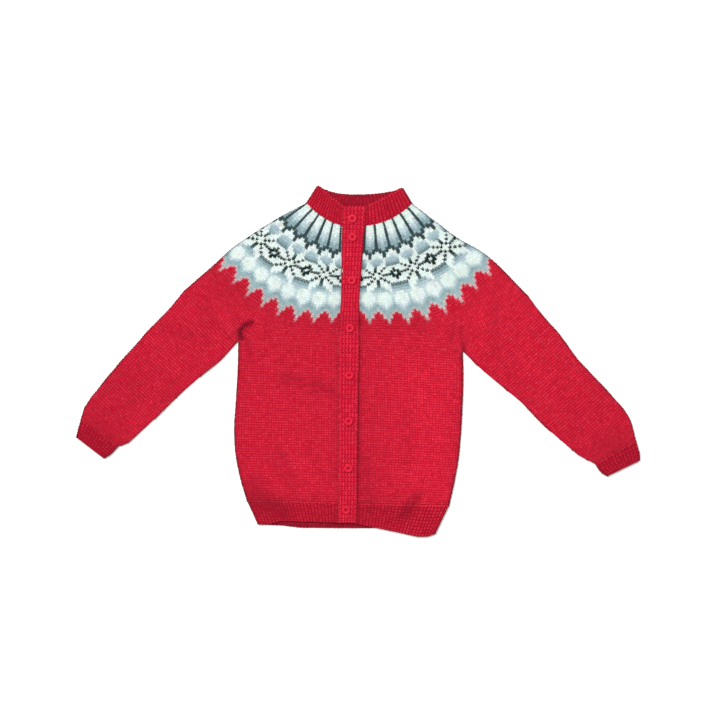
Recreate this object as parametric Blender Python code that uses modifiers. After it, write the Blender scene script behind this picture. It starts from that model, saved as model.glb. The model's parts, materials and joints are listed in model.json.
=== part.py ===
"""A child's hand-knitted cardigan with a round yoke, buttoned and laid flat on its back.

Metres, +Z up. +Y points from hem to collar and +X to the right as the front is seen from above.
The back lies on the floor at z = 0, the front lies on it, and each piece is a closed wall of cloth.
Left and right are as seen from above. Rings run from the right front's edge across the front,
round the right fold, across the back, round the left fold and back to the left front's edge.
"""

import math

import bmesh
import bpy
import numpy as np

COLLECTION = "cardigan"

# Cloth
WALL = 0.003
FRONT_TOP = 0.0076
SEAM = 0.0003
FOLD_REACH = 0.0045
FOLD_STEPS = 6

# Bands, knitted sideways. The buttonhole band lies over the button band.
BAND_LAP = 0.0010
BAND_SEAM = 0.0006
OVER_BAND_FLOOR = 0.0079
OVER_BAND_TOP = 0.0103
UNDER_EDGE_DIP = 0.0004
UNDER_EDGE_REACH = 0.006
BAND_RIB_RISE = 0.0008
BAND_RIB_PITCH = 0.0077
BAND_EDGE_CHAIN = 0.0005
RAMP_WIDTH = 0.024
BAND_TOP_Y = 0.260
BAND_END_Y = -0.272

# Ribs
HEM_RIBS_EACH_FRONT = 25
HEM_RIB_RISE = 0.0012
CUFF_RIBS = 12
CUFF_RIB_RISE = 0.0011
NECK_RIBS_EACH_FRONT = 13
NECK_RIB_RISE = 0.0009
NECK_BACK_RIB_RISE = 0.0005

# Buttons
BUTTON_FLOOR = OVER_BAND_TOP + BAND_RIB_RISE + SEAM
BUTTON_STEPS = 16

# Colours: base colour, roughness
WOOL_RED = ((0.60, 0.012, 0.035, 1.0), 0.9)
WOOL_GREY = ((0.45, 0.50, 0.52, 1.0), 0.9)
BUTTON_RED = ((0.55, 0.010, 0.030, 1.0), 0.35)

# The edges of the buttonhole band: y, left x, right x
BAND_EDGES = (
    (0.261, -0.0240, 0.0140),
    (0.212, -0.0255, 0.0110),
    (0.102, -0.0270, 0.0025),
    (0.035, -0.0320, 0.0035),
    (-0.066, -0.0320, 0.0010),
    (-0.200, -0.0320, 0.0000),
    (-0.300, -0.0320, -0.0020),
)

# Body rounds from the underarms to the hem rib:
# share of the way down, left side x and y, left edge y, right edge y, right side x and y
BODY_ROUNDS = (
    (0.000, -0.2010, 0.032, 0.027, 0.026, 0.1770, 0.015),
    (0.120, -0.2015, 0.000, -0.005, -0.006, 0.1780, -0.016),
    (0.370, -0.2050, -0.066, -0.071, -0.072, 0.1765, -0.080),
    (0.560, -0.2080, -0.117, -0.121, -0.122, 0.1735, -0.129),
    (0.710, -0.2055, -0.157, -0.160, -0.161, 0.1695, -0.168),
    (0.840, -0.1990, -0.192, -0.195, -0.196, 0.1635, -0.201),
    (1.000, -0.1870, -0.234, -0.237, -0.239, 0.1545, -0.242),
)

# Lower edge of the hem rib on the front: x, y. The back shows under its middle: x, y.
HEM_LEFT_SIDE = (-0.1680, -0.2755)
HEM_RIGHT_SIDE = (0.1305, -0.2900)
HEM_FRONT_END = (
    (-0.168, -0.2755),
    (-0.147, -0.2740),
    (-0.127, -0.2690),
    (-0.097, -0.2700),
    (-0.026, -0.2720),
    (-0.001, -0.2740),
    (0.038, -0.2820),
    (0.071, -0.2890),
    (0.100, -0.2955),
    (0.118, -0.2955),
    (0.1305, -0.2900),
)
HEM_BACK_END = (
    (-0.168, -0.2755),
    (-0.130, -0.2765),
    (-0.097, -0.2805),
    (-0.026, -0.2812),
    (0.052, -0.2812),
    (0.096, -0.2890),
    (0.1305, -0.2900),
)

# Yoke rounds from the underarms to the neck: share of the way up, left edge y, bend x and y,
# left shoulder x and y, direction the shoulder faces in degrees, roundness of the bend
YOKE_LEFT_ROUNDS = (
    (0.00, 0.027, -0.2010, 0.032, -0.292, 0.119, 136.3, 0.00),
    (0.19, 0.066, -0.1390, 0.067, -0.241, 0.163, 131.5, 0.60),
    (0.40, 0.107, -0.1170, 0.102, -0.209, 0.192, 128.5, 0.80),
    (0.56, 0.138, -0.1250, 0.144, -0.176, 0.215, 123.0, 1.00),
    (0.76, 0.175, -0.0930, 0.185, -0.137, 0.239, 120.0, 1.00),
    (1.00, 0.227, -0.0600, 0.237, -0.086, 0.2665, 132.0, 1.00),
)
YOKE_RIGHT_ROUNDS = (
    (0.00, 0.026, 0.1770, 0.015, 0.286, 0.111, 41.4, 0.00),
    (0.19, 0.065, 0.1380, 0.064, 0.238, 0.160, 47.0, 0.50),
    (0.40, 0.107, 0.1180, 0.099, 0.206, 0.186, 52.0, 0.80),
    (0.56, 0.136, 0.1130, 0.141, 0.169, 0.207, 54.0, 1.00),
    (0.76, 0.175, 0.0830, 0.175, 0.133, 0.234, 52.0, 1.00),
    (1.00, 0.227, 0.0540, 0.230, 0.092, 0.265, 42.0, 1.00),
)
YOKE_BACK_RISE = 0.022
BACK_MIDDLE_X = -0.004
YOKE_COLUMNS_IN = 7
YOKE_COLUMNS_OUT = 5

# Neckband rounds from the yoke to the rim, in the same columns as the yoke's
NECK_LEFT_ROUNDS = (
    (0.00, 0.2275, -0.0600, 0.2375, -0.086, 0.2670, 132.0, 1.00),
    (1.00, 0.2610, -0.0450, 0.2770, -0.0675, 0.2960, 147.0, 1.00),
)
NECK_RIGHT_ROUNDS = (
    (0.00, 0.2275, 0.0540, 0.2305, 0.092, 0.2655, 42.0, 1.00),
    (1.00, 0.2600, 0.0480, 0.2770, 0.0755, 0.2925, 31.0, 1.00),
)
NECK_BACK_MIDDLE_Y = (0.2495, 0.2800)

# Sleeve sections from the yoke to the cuff: upper edge x and y, lower edge x and y
SLEEVE_LEFT_SECTIONS = (
    (-0.2920, 0.119, -0.2010, 0.032),
    (-0.3190, 0.086, -0.2310, -0.001),
    (-0.3480, 0.057, -0.2620, -0.025),
    (-0.3770, 0.024, -0.2940, -0.053),
    (-0.4060, -0.008, -0.3250, -0.083),
    (-0.4320, -0.040, -0.3560, -0.112),
    (-0.4570, -0.073, -0.3840, -0.137),
    (-0.4656, -0.0965, -0.4020, -0.1445),
)
CUFF_LEFT_SECTIONS = (
    (-0.4656, -0.0965, -0.4020, -0.1445),
    (-0.4710, -0.115, -0.4130, -0.1560),
    (-0.4735, -0.128, -0.4260, -0.1645),
)
SLEEVE_RIGHT_SECTIONS = (
    (0.2860, 0.111, 0.1770, 0.015),
    (0.3110, 0.078, 0.2070, -0.014),
    (0.3410, 0.044, 0.2415, -0.043),
    (0.3670, 0.008, 0.2755, -0.071),
    (0.3965, -0.024, 0.3060, -0.103),
    (0.4270, -0.057, 0.3400, -0.133),
    (0.4560, -0.093, 0.3710, -0.159),
    (0.4683, -0.1320, 0.3980, -0.1732),
)
CUFF_RIGHT_SECTIONS = (
    (0.4683, -0.1320, 0.3980, -0.1732),
    (0.4745, -0.153, 0.4070, -0.1865),
    (0.4750, -0.167, 0.4190, -0.1940),
)

# Folds of the front, as soft ridges and, where the rise is below zero, troughs:
# start x and y, end x and y, rise, half width
FOLDS = (
    # Left underarm: a deep crease between two swellings, and a fainter one beside it
    (-0.203, 0.036, -0.181, 0.066, -0.0012, 0.005),
    (-0.216, 0.044, -0.196, 0.080, 0.0013, 0.009),
    (-0.186, 0.036, -0.171, 0.072, 0.0011, 0.007),
    (-0.161, 0.088, -0.162, 0.046, -0.0007, 0.006),
    (-0.162, 0.046, -0.176, 0.008, -0.0007, 0.006),
    # Right underarm
    (0.174, 0.052, 0.177, 0.018, -0.0007, 0.005),
    (0.158, 0.066, 0.160, 0.020, 0.0010, 0.009),
    (0.194, 0.060, 0.192, 0.034, 0.0010, 0.009),
    # Left front: a slanting crease below the middle, and slanting swellings above the hem
    (-0.119, -0.032, -0.083, -0.042, -0.0008, 0.007),
    (-0.083, -0.042, -0.046, -0.050, -0.0009, 0.007),
    (-0.110, -0.012, -0.060, -0.024, 0.0007, 0.011),
    (-0.098, -0.060, -0.056, -0.070, 0.0006, 0.011),
    (-0.150, -0.160, -0.112, -0.218, 0.0010, 0.008),
    (-0.125, -0.155, -0.092, -0.206, 0.0010, 0.008),
    (-0.178, -0.190, -0.150, -0.228, 0.0018, 0.012),
    # Right front: a long upright crease that deepens into the hem, and a dip beside the band
    (0.081, -0.082, 0.086, -0.183, -0.0007, 0.007),
    (0.100, -0.218, 0.079, -0.266, -0.0012, 0.008),
    (0.118, -0.205, 0.102, -0.264, 0.0018, 0.010),
    (0.084, -0.196, 0.058, -0.262, 0.0014, 0.009),
    (0.016, -0.174, 0.030, -0.178, -0.0007, 0.010),
    (0.030, -0.206, 0.034, -0.236, -0.0006, 0.012),
    # Sides of the body, and the swelling above the hem rib
    (-0.190, 0.000, -0.196, -0.170, 0.0014, 0.013),
    (0.164, -0.020, 0.154, -0.200, 0.0014, 0.013),
    (-0.140, -0.226, -0.050, -0.228, 0.0012, 0.010),
    (0.010, -0.230, 0.140, -0.234, 0.0012, 0.010),
    # Broad swellings of the fronts
    (-0.130, 0.020, -0.140, -0.140, 0.0008, 0.020),
    (0.045, 0.010, 0.042, -0.150, 0.0008, 0.022),
    (0.120, 0.000, 0.116, -0.150, 0.0009, 0.020),
    # Left sleeve
    (-0.248, 0.112, -0.253, 0.026, -0.0007, 0.006),
    (-0.327, 0.057, -0.268, 0.040, -0.0007, 0.006),
    (-0.270, 0.086, -0.300, 0.024, 0.0012, 0.016),
    (-0.320, 0.020, -0.395, -0.060, 0.0015, 0.022),
    (-0.418, -0.086, -0.392, -0.116, 0.0016, 0.012),
    # Right sleeve
    (0.231, 0.106, 0.230, -0.008, -0.0009, 0.006),
    (0.212, 0.092, 0.211, 0.012, 0.0010, 0.010),
    (0.252, 0.098, 0.256, -0.008, 0.0012, 0.013),
    (0.300, 0.040, 0.385, -0.060, 0.0015, 0.024),
    (0.430, -0.116, 0.398, -0.140, 0.0016, 0.012),
    # Shoulders and collar
    (-0.230, 0.140, -0.150, 0.198, 0.0010, 0.020),
    (0.225, 0.132, 0.140, 0.194, 0.0010, 0.020),
    (-0.044, 0.268, -0.066, 0.284, 0.0012, 0.014),
    (0.034, 0.266, 0.070, 0.281, 0.0012, 0.014),
)
LOWEST_TOP = 0.0065

# Button centres, top to bottom: x, y
BUTTON_CENTRES = (
    (-0.0085, 0.239),
    (-0.0085, 0.208),
    (-0.0100, 0.135),
    (-0.0130, 0.055),
    (-0.0140, -0.024),
    (-0.0150, -0.101),
    (-0.0155, -0.180),
    (-0.0195, -0.250),
)

# Half the section of a button, from its underside's middle out and round to its hollow: radius, z
BUTTON_PROFILE = (
    (0.0000, 0.0000),
    (0.0056, 0.0000),
    (0.0070, 0.0014),
    (0.0060, 0.0033),
    (0.0043, 0.0034),
    (0.0023, 0.0020),
    (0.0000, 0.0018),
)


def clear_scene():
    for obj in list(bpy.data.objects):
        bpy.data.objects.remove(obj, do_unlink=True)


def make_collection():
    group = bpy.data.collections.new(COLLECTION)
    bpy.context.scene.collection.children.link(group)
    return group


def make_material(name, look):
    colour, roughness = look
    material = bpy.data.materials.new(name)
    material.use_nodes = True
    shader = material.node_tree.nodes["Principled BSDF"]
    shader.inputs["Base Color"].default_value = colour
    shader.inputs["Roughness"].default_value = roughness
    shader.inputs["Metallic"].default_value = 0.0
    return material


def add_object(group, name, mesh, look):
    obj = bpy.data.objects.new(name, mesh)
    mesh.materials.append(make_material(name, look))
    group.objects.link(obj)
    return obj


def unit(vector):
    return np.asarray(vector, float) / np.linalg.norm(vector)


def facing(degrees):
    angle = math.radians(degrees)
    return np.array((math.cos(angle), math.sin(angle)))


def smooth_row(table, share):
    """The table's row at this share, on a smooth curve through its rows. The first column is the share."""
    rows = np.asarray(table, float)
    where = rows[:, 0]
    slopes = np.gradient(rows[:, 1:], where, axis=0)
    index = int(np.clip(np.searchsorted(where, share) - 1, 0, len(where) - 2))
    span = where[index + 1] - where[index]
    t = np.clip((share - where[index]) / span, 0.0, 1.0)
    start, end = rows[index, 1:], rows[index + 1, 1:]
    rise = (2 * t**3 - 3 * t**2 + 1) * start + (3 * t**2 - 2 * t**3) * end
    return rise + span * ((t**3 - 2 * t**2 + t) * slopes[index] + (t**3 - t**2) * slopes[index + 1])


def band_edge(y, column):
    rows = np.asarray(BAND_EDGES[::-1], float)
    return float(np.interp(y, rows[:, 0], rows[:, column]))


def left_front_edge(y):
    return band_edge(y, 1) - BAND_SEAM


def right_front_edge(y):
    return band_edge(y, 2) - BAND_LAP


def fold_rise(x, y):
    """How far the soft folds lift the front at this place."""
    rise = 0.0
    for start_x, start_y, end_x, end_y, height, width in FOLDS:
        along_x, along_y = end_x - start_x, end_y - start_y
        length_squared = along_x**2 + along_y**2
        t = ((x - start_x) * along_x + (y - start_y) * along_y) / length_squared
        t = min(max(t, 0.0), 1.0)
        distance = math.hypot(x - start_x - t * along_x, y - start_y - t * along_y)
        rise += height * math.exp(-((distance / width) ** 2))
    return rise


def band_ramp(x, y):
    """How much of its way up onto the button band the left front has climbed, 0 to 1."""
    edge = band_edge(y, 1)
    if x > edge:
        return 0.0
    t = max(0.0, 1.0 - (edge - x) / RAMP_WIDTH)
    return t * t * (3 - 2 * t)


def front_top(x, y):
    """Height of the front's upper surface. It meets both bands at their own heights."""
    ramp = band_ramp(x, y)
    tucked = 0.0
    if x > band_edge(y, 1):
        tucked = math.exp(-(((x - band_edge(y, 2)) / UNDER_EDGE_REACH) ** 2))
    folds = fold_rise(x, y) * (1 - ramp) * (1 - tucked)
    band_rise = OVER_BAND_FLOOR + WALL - FRONT_TOP
    return max(FRONT_TOP + folds + band_rise * ramp - UNDER_EDGE_DIP * tucked, LOWEST_TOP)


def rib_rises(count, rise):
    """The heights of this many points across ribs, low and high in turn."""
    return [rise * (column % 2) for column in range(count)]


def straight(start, end, steps):
    t = np.linspace(0.0, 1.0, steps + 1)[:, None]
    return np.asarray(start) * (1 - t) + np.asarray(end) * t


def front_layer(points, rises=None):
    rises = rises or [0.0] * len(points)
    tops = [front_top(x, y) for x, y in points]
    outer = [(x, y, top + rise) for (x, y), top, rise in zip(points, tops, rises)]
    inner = [(x, y, top - WALL) for (x, y), top in zip(points, tops)]
    return outer, inner


def back_layer(points, rises=None):
    rises = rises or [0.0] * len(points)
    outer = [(x, y, 0.0) for x, y in points]
    inner = [(x, y, WALL + rise) for (x, y), rise in zip(points, rises)]
    return outer, inner


def fold(middle, outward, downwards=True):
    """The points between front and back where the cloth turns round, on half an ellipse."""
    half = front_top(*middle) / 2
    angles = [math.pi * step / FOLD_STEPS for step in range(1, FOLD_STEPS)]
    if not downwards:
        angles.reverse()
    outer, inner = [], []
    for angle in angles:
        reach, lift = math.sin(angle), math.cos(angle)
        x, y = np.asarray(middle) + outward * FOLD_REACH * reach
        outer.append((x, y, half + half * lift))
        x, y = np.asarray(middle) + outward * (FOLD_REACH - WALL) * reach
        inner.append((x, y, half + (half - WALL) * lift))
    return outer, inner


def joined(*parts):
    outer = [point for part in parts for point in part[0]]
    inner = [point for part in parts for point in part[1]]
    return outer, inner


def open_ring(right, right_out, back, left_out, left, rib=0.0, back_rib=0.0):
    """One round of a piece that is open down the front. The plan lines run on from each other."""
    return joined(
        front_layer(right, rib_rises(len(right), rib)),
        fold(right[-1], right_out),
        back_layer(back, rib_rises(len(back), back_rib)),
        fold(left[0], left_out, downwards=False),
        front_layer(left, rib_rises(len(left), rib)),
    )


def tube_ring(upper, lower, columns, rib=0.0):
    """One section of a flattened tube between its two folded edges."""
    upper, lower = np.asarray(upper), np.asarray(lower)
    outward = unit(upper - lower)
    top = upper - outward * FOLD_REACH
    bottom = lower + outward * FOLD_REACH
    line = straight(bottom, top, columns)
    return joined(
        front_layer(line, rib_rises(len(line), rib)),
        fold(top, outward),
        back_layer(line[::-1]),
        fold(bottom, -outward, downwards=False),
    )


def wall_mesh(name, rings, closed):
    """A closed wall between the outer and the inner points of a row of rings."""
    rows, columns = len(rings), len(rings[0][0])
    outer = [point for ring in rings for point in ring[0]]
    inner = [point for ring in rings for point in ring[1]]
    inside = len(outer)
    faces = []
    last = columns if closed else columns - 1
    for row in range(rows - 1):
        for column in range(last):
            a = row * columns + column
            b = row * columns + (column + 1) % columns
            faces.append((a, b, b + columns, a + columns))
            faces.append((inside + b, inside + a, inside + a + columns, inside + b + columns))
    for row, flip in ((0, True), (rows - 1, False)):
        for column in range(last):
            a = row * columns + column
            b = row * columns + (column + 1) % columns
            strip = (a, b, inside + b, inside + a)
            faces.append(strip if not flip else strip[::-1])
    if not closed:
        for column, flip in ((0, False), (columns - 1, True)):
            for row in range(rows - 1):
                a = row * columns + column
                strip = (a, a + columns, inside + a + columns, inside + a)
                faces.append(strip if not flip else strip[::-1])
    return closed_mesh(name, outer + inner, faces)


def closed_mesh(name, points, faces):
    """A mesh whose faces point outwards, shaded smooth but for its edges."""
    mesh = bpy.data.meshes.new(name)
    mesh.from_pydata([tuple(map(float, point)) for point in points], [], faces)
    shape = bmesh.new()
    shape.from_mesh(mesh)
    bmesh.ops.recalc_face_normals(shape, faces=shape.faces)
    bmesh.ops.triangulate(shape, faces=shape.faces)
    shape.to_mesh(mesh)
    shape.free()
    mesh.shade_smooth()
    mesh.set_sharp_from_angle(angle=math.radians(50))
    return mesh


def body_middle(share):
    """The middle of a body round's back, level with the front's edges."""
    row = smooth_row(BODY_ROUNDS, share)
    return np.array((BACK_MIDDLE_X, (row[2] + row[3]) / 2))


def back_line(right_side, middle, left_side, steps):
    """A line across the back that runs through its middle."""
    half = steps // 2
    return np.vstack((straight(right_side, middle, half)[:-1], straight(middle, left_side, half)))


def body_ring(share, rows_down, columns, rib=0.0):
    """One round of the body, and of the hem rib's upper edge, between its two sides."""
    left_x, left_y, left_edge_y, right_edge_y, right_x, right_y = smooth_row(BODY_ROUNDS, share)
    down = np.array((0.0, -rows_down))
    left_side = np.array((left_x + FOLD_REACH, left_y)) + down
    right_side = np.array((right_x - FOLD_REACH, right_y)) + down
    left_edge = np.array((left_front_edge(left_edge_y), left_edge_y)) + down
    right_edge = np.array((right_front_edge(right_edge_y), right_edge_y)) + down
    across, behind = columns
    return open_ring(
        straight(right_edge, right_side, across),
        facing(0),
        back_line(right_side, body_middle(share) + down, left_side, behind),
        facing(180),
        straight(left_side, left_edge, across),
        rib,
    )


def body_mesh():
    rounds = 9
    columns = (10, 8)
    rings = [body_ring(step / rounds, SEAM, columns) for step in range(rounds + 1)]
    return wall_mesh("body", rings, closed=False)


def hem_front(x):
    rows = np.asarray(HEM_FRONT_END)
    return float(np.interp(x, rows[:, 0], rows[:, 1]))


def hem_back(x):
    rows = np.asarray(HEM_BACK_END)
    return float(np.interp(x, rows[:, 0], rows[:, 1]))


def between(start, end, share):
    return np.asarray(start) * (1 - share) + np.asarray(end) * share


def hem_ring(share):
    """One round of the hem rib, between the body's last round and the lower edge."""
    across, behind = 2 * HEM_RIBS_EACH_FRONT, 8
    left_x, left_y, left_edge_y, right_edge_y, right_x, right_y = BODY_ROUNDS[-1][1:]
    down = np.array((0.0, -2 * SEAM))
    left_side = np.array((left_x + FOLD_REACH, left_y)) + down
    right_side = np.array((right_x - FOLD_REACH, right_y)) + down
    left_edge = np.array((left_front_edge(left_edge_y), left_edge_y)) + down
    right_edge = np.array((right_front_edge(right_edge_y), right_edge_y)) + down
    left_end = np.array(HEM_LEFT_SIDE) + (FOLD_REACH, 0)
    right_end = np.array(HEM_RIGHT_SIDE) - (FOLD_REACH, 0)

    def line(top_start, top_end, end_start, end_end, steps, edge):
        top = straight(top_start, top_end, steps)
        xs = np.linspace(end_start, end_end, steps + 1)
        end = np.array([(x, edge(x)) for x in xs])
        return between(top, end, share)

    right_x_end, left_x_end = right_front_edge(BAND_END_Y), left_front_edge(BAND_END_Y)
    right = line(right_edge, right_side, right_x_end, right_end[0], across, hem_front)
    left = line(left_side, left_edge, left_end[0], left_x_end, across, hem_front)
    top = back_line(right_side, body_middle(1.0) + down, left_side, behind)
    xs = np.linspace(right_end[0], left_end[0], behind + 1)
    back = between(top, np.array([(x, hem_back(x)) for x in xs]), share)
    back[0], back[-1] = right[-1], left[0]
    return open_ring(right, facing(0), back, facing(180), left, HEM_RIB_RISE)


def hem_mesh():
    return wall_mesh("hem_rib", [hem_ring(share) for share in (0.0, 0.33, 0.75, 1.0)], closed=False)


def rounded_line(start, bend, end, roundness, columns_in, columns_out):
    """A line from start to end round a bend, with its columns shared out on each side of the bend."""
    start, bend, end = (np.asarray(point, float) for point in (start, bend, end))
    enter = bend + (start - bend) * roundness
    leave = bend + (end - bend) * roundness
    t = np.linspace(0.0, 1.0, 41)[:, None]
    curve = enter * (1 - t) ** 2 + bend * 2 * t * (1 - t) + leave * t**2
    first = np.vstack((start[None], curve[:21]))
    second = np.vstack((curve[20:], end[None]))
    return np.vstack((evenly(first, columns_in)[:-1], evenly(second, columns_out)))


def evenly(line, columns):
    """Points at equal steps along a line of points."""
    steps = np.hypot(*np.diff(line, axis=0).T)
    along = np.concatenate(([0.0], np.cumsum(steps)))
    wanted = np.linspace(0.0, along[-1], columns + 1)
    return np.column_stack([np.interp(wanted, along, line[:, axis]) for axis in (0, 1)])


def yoke_side(rounds, share, edge, columns_in, columns_out):
    """One half of a round: its front line from edge to fold, and what its back line is made from."""
    edge_y, bend_x, bend_y, end_x, end_y, degrees, roundness = smooth_row(rounds, share)
    outward = facing(degrees)
    start = (edge(edge_y), edge_y)
    end = np.array((end_x, end_y)) - outward * FOLD_REACH
    bend = (bend_x, bend_y)
    line = rounded_line(start, bend, end, roundness, columns_in, columns_out)
    return line, outward, bend, end, roundness


def yoke_ring(rounds, share, back_middle, back_level, columns, rib=0.0, back_rib=0.0):
    """One round of the yoke or the neckband. The back's bends go from the front's level to its own middle's."""
    columns_in, columns_out = columns
    left_rounds, right_rounds = rounds
    left = yoke_side(left_rounds, share, left_front_edge, columns_in, columns_out)
    right = yoke_side(right_rounds, share, right_front_edge, columns_in, columns_out)
    halves = []
    for _, _, (bend_x, bend_y), end, roundness in (right, left):
        bend = (bend_x, bend_y * (1 - back_level) + back_middle[1] * back_level)
        halves.append(rounded_line(back_middle, bend, end, roundness, columns_in, columns_out))
    back = np.vstack((halves[0][::-1], halves[1][1:]))
    return open_ring(right[0], right[1], back, left[1], left[0][::-1], rib, back_rib)


def yoke_back_middle(share):
    front_y = (smooth_row(YOKE_LEFT_ROUNDS, share)[0] + smooth_row(YOKE_RIGHT_ROUNDS, share)[0]) / 2
    return BACK_MIDDLE_X, front_y + YOKE_BACK_RISE * share**2


def yoke_mesh():
    rounds = 9
    columns = (YOKE_COLUMNS_IN, YOKE_COLUMNS_OUT)
    sides = (YOKE_LEFT_ROUNDS, YOKE_RIGHT_ROUNDS)
    rings = []
    for step in range(rounds + 1):
        share = step / rounds
        rings.append(yoke_ring(sides, share, yoke_back_middle(share), share, columns))
    return wall_mesh("yoke", rings, closed=False)


def neckband_mesh():
    across = NECK_RIBS_EACH_FRONT
    sides = (NECK_LEFT_ROUNDS, NECK_RIGHT_ROUNDS)
    rings = []
    for share in (0.0, 0.5, 1.0):
        middle = (BACK_MIDDLE_X, float(np.interp(share, (0, 1), NECK_BACK_MIDDLE_Y)))
        columns = (across, across)
        rings.append(yoke_ring(sides, share, middle, 1.0, columns, NECK_RIB_RISE, NECK_BACK_RIB_RISE))
    return wall_mesh("neckband", rings, closed=False)


def sleeve_rows(sections):
    shares = np.linspace(0.0, 1.0, len(sections))
    return [(share, *section) for share, section in zip(shares, sections)]


def tube_mesh(name, sections, rounds, columns, shift, rib=0.0):
    """A sleeve or a cuff through its sections, moved off its neighbour by a seam's gap."""
    rows = sleeve_rows(sections)
    rings = []
    for step in range(rounds + 1):
        section = smooth_row(rows, step / rounds)
        upper = section[:2] + shift
        lower = section[2:] + shift
        rings.append(tube_ring(upper, lower, columns, rib))
    return wall_mesh(name, rings, closed=True)


def sleeve_shift(sections):
    """A seam's gap along the sleeve, away from the yoke."""
    first, second = np.asarray(sections[0]), np.asarray(sections[1])
    across = unit(first[:2] - first[2:])
    along = np.array((-across[1], across[0]))
    middle_step = (second[:2] + second[2:] - first[:2] - first[2:]) / 2
    return along * np.sign(along @ middle_step) * SEAM


def band_section(y, left, right, floor, rise, chain):
    """One cross-section of a band, a thin bar with eased upper edges."""
    ease = 0.0010
    top = OVER_BAND_TOP - OVER_BAND_FLOOR + floor
    return (
        (left, y, floor),
        (left, y, top - ease),
        (left + ease, y, top + rise),
        (right - 3 * ease, y, top + rise),
        (right - ease, y, top + rise + chain),
        (right, y, top - ease),
        (right, y, floor),
    )


def bar_mesh(name, sections):
    """A closed bar through sections of equal count."""
    columns = len(sections[0])
    points = [point for section in sections for point in section]
    faces = [tuple(range(columns))]
    for row in range(len(sections) - 1):
        for column in range(columns):
            a = row * columns + column
            b = row * columns + (column + 1) % columns
            faces.append((a, b, b + columns, a + columns))
    start = (len(sections) - 1) * columns
    faces.append(tuple(range(start + columns - 1, start - 1, -1)))
    return closed_mesh(name, points, faces)


def buttonhole_band_mesh():
    """The upper band, with its sideways ribs and the chain of its bound-off edge."""
    length = BAND_TOP_Y - BAND_END_Y
    steps = 2 * round(length / BAND_RIB_PITCH)
    sections = []
    for step in range(steps + 1):
        y = BAND_TOP_Y - length * step / steps
        rise = BAND_RIB_RISE * (step % 2)
        chain = BAND_EDGE_CHAIN if step % 2 else 0.0
        sections.append(band_section(y, band_edge(y, 1), band_edge(y, 2), OVER_BAND_FLOOR, rise, chain))
    return bar_mesh("buttonhole_band", sections)


def button_band_mesh():
    """The lower band, plain because the upper one covers it."""
    floor = FRONT_TOP - WALL
    top = FRONT_TOP
    inset = 0.0015
    sections = []
    for y in np.linspace(BAND_TOP_Y - inset, BAND_END_Y + inset, 15):
        left = band_edge(y, 1) + inset
        right = right_front_edge(y) - BAND_SEAM
        sections.append(((left, y, floor), (left, y, top), (right, y, top), (right, y, floor)))
    return bar_mesh("button_band", sections)


def make_button(group, name, centre):
    """A round button turned from its profile."""
    mesh = bpy.data.meshes.new(name)
    points = [(radius, 0.0, z) for radius, z in BUTTON_PROFILE[::-1]]
    edges = [(index, index + 1) for index in range(len(points) - 1)]
    mesh.from_pydata(points, edges, [])
    obj = add_object(group, name, mesh, BUTTON_RED)
    obj.location = (centre[0], centre[1], BUTTON_FLOOR)
    turn = obj.modifiers.new("turn", "SCREW")
    turn.steps = BUTTON_STEPS
    turn.render_steps = BUTTON_STEPS
    turn.use_merge_vertices = True
    turn.merge_threshold = 0.00001
    return obj


def make_cardigan():
    clear_scene()
    group = make_collection()
    left_shift = sleeve_shift(SLEEVE_LEFT_SECTIONS)
    right_shift = sleeve_shift(SLEEVE_RIGHT_SECTIONS)
    add_object(group, "body", body_mesh(), WOOL_RED)
    add_object(group, "hem_rib", hem_mesh(), WOOL_RED)
    add_object(group, "yoke", yoke_mesh(), WOOL_GREY)
    add_object(group, "neckband", neckband_mesh(), WOOL_RED)
    tubes = (
        ("sleeve_left", SLEEVE_LEFT_SECTIONS, 11, 6, left_shift, 0.0),
        ("sleeve_right", SLEEVE_RIGHT_SECTIONS, 11, 6, right_shift, 0.0),
        ("cuff_left", CUFF_LEFT_SECTIONS, 3, 2 * CUFF_RIBS, 2 * left_shift, CUFF_RIB_RISE),
        ("cuff_right", CUFF_RIGHT_SECTIONS, 3, 2 * CUFF_RIBS, 2 * right_shift, CUFF_RIB_RISE),
    )
    for name, sections, rounds, columns, shift, rib in tubes:
        mesh = tube_mesh(name, sections, rounds, columns, shift, rib)
        add_object(group, name, mesh, WOOL_RED)
    add_object(group, "button_band", button_band_mesh(), WOOL_RED)
    add_object(group, "buttonhole_band", buttonhole_band_mesh(), WOOL_RED)
    for number, centre in enumerate(BUTTON_CENTRES, start=1):
        make_button(group, f"button_{number}", centre)


make_cardigan()
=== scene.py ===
"""The finish of a child's hand-knitted cardigan with a round patterned yoke, laid flat on its back.

Each piece of cloth is a thin shell with its knit stitches, two legs of yarn to a stitch, laid over it.
Left and right are as seen from above. Rounds of stitches run from the left front's edge over the back
to the right front's edge, and rows of stitches are counted in the direction of knitting.
"""

import copy
import json
import math

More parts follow.
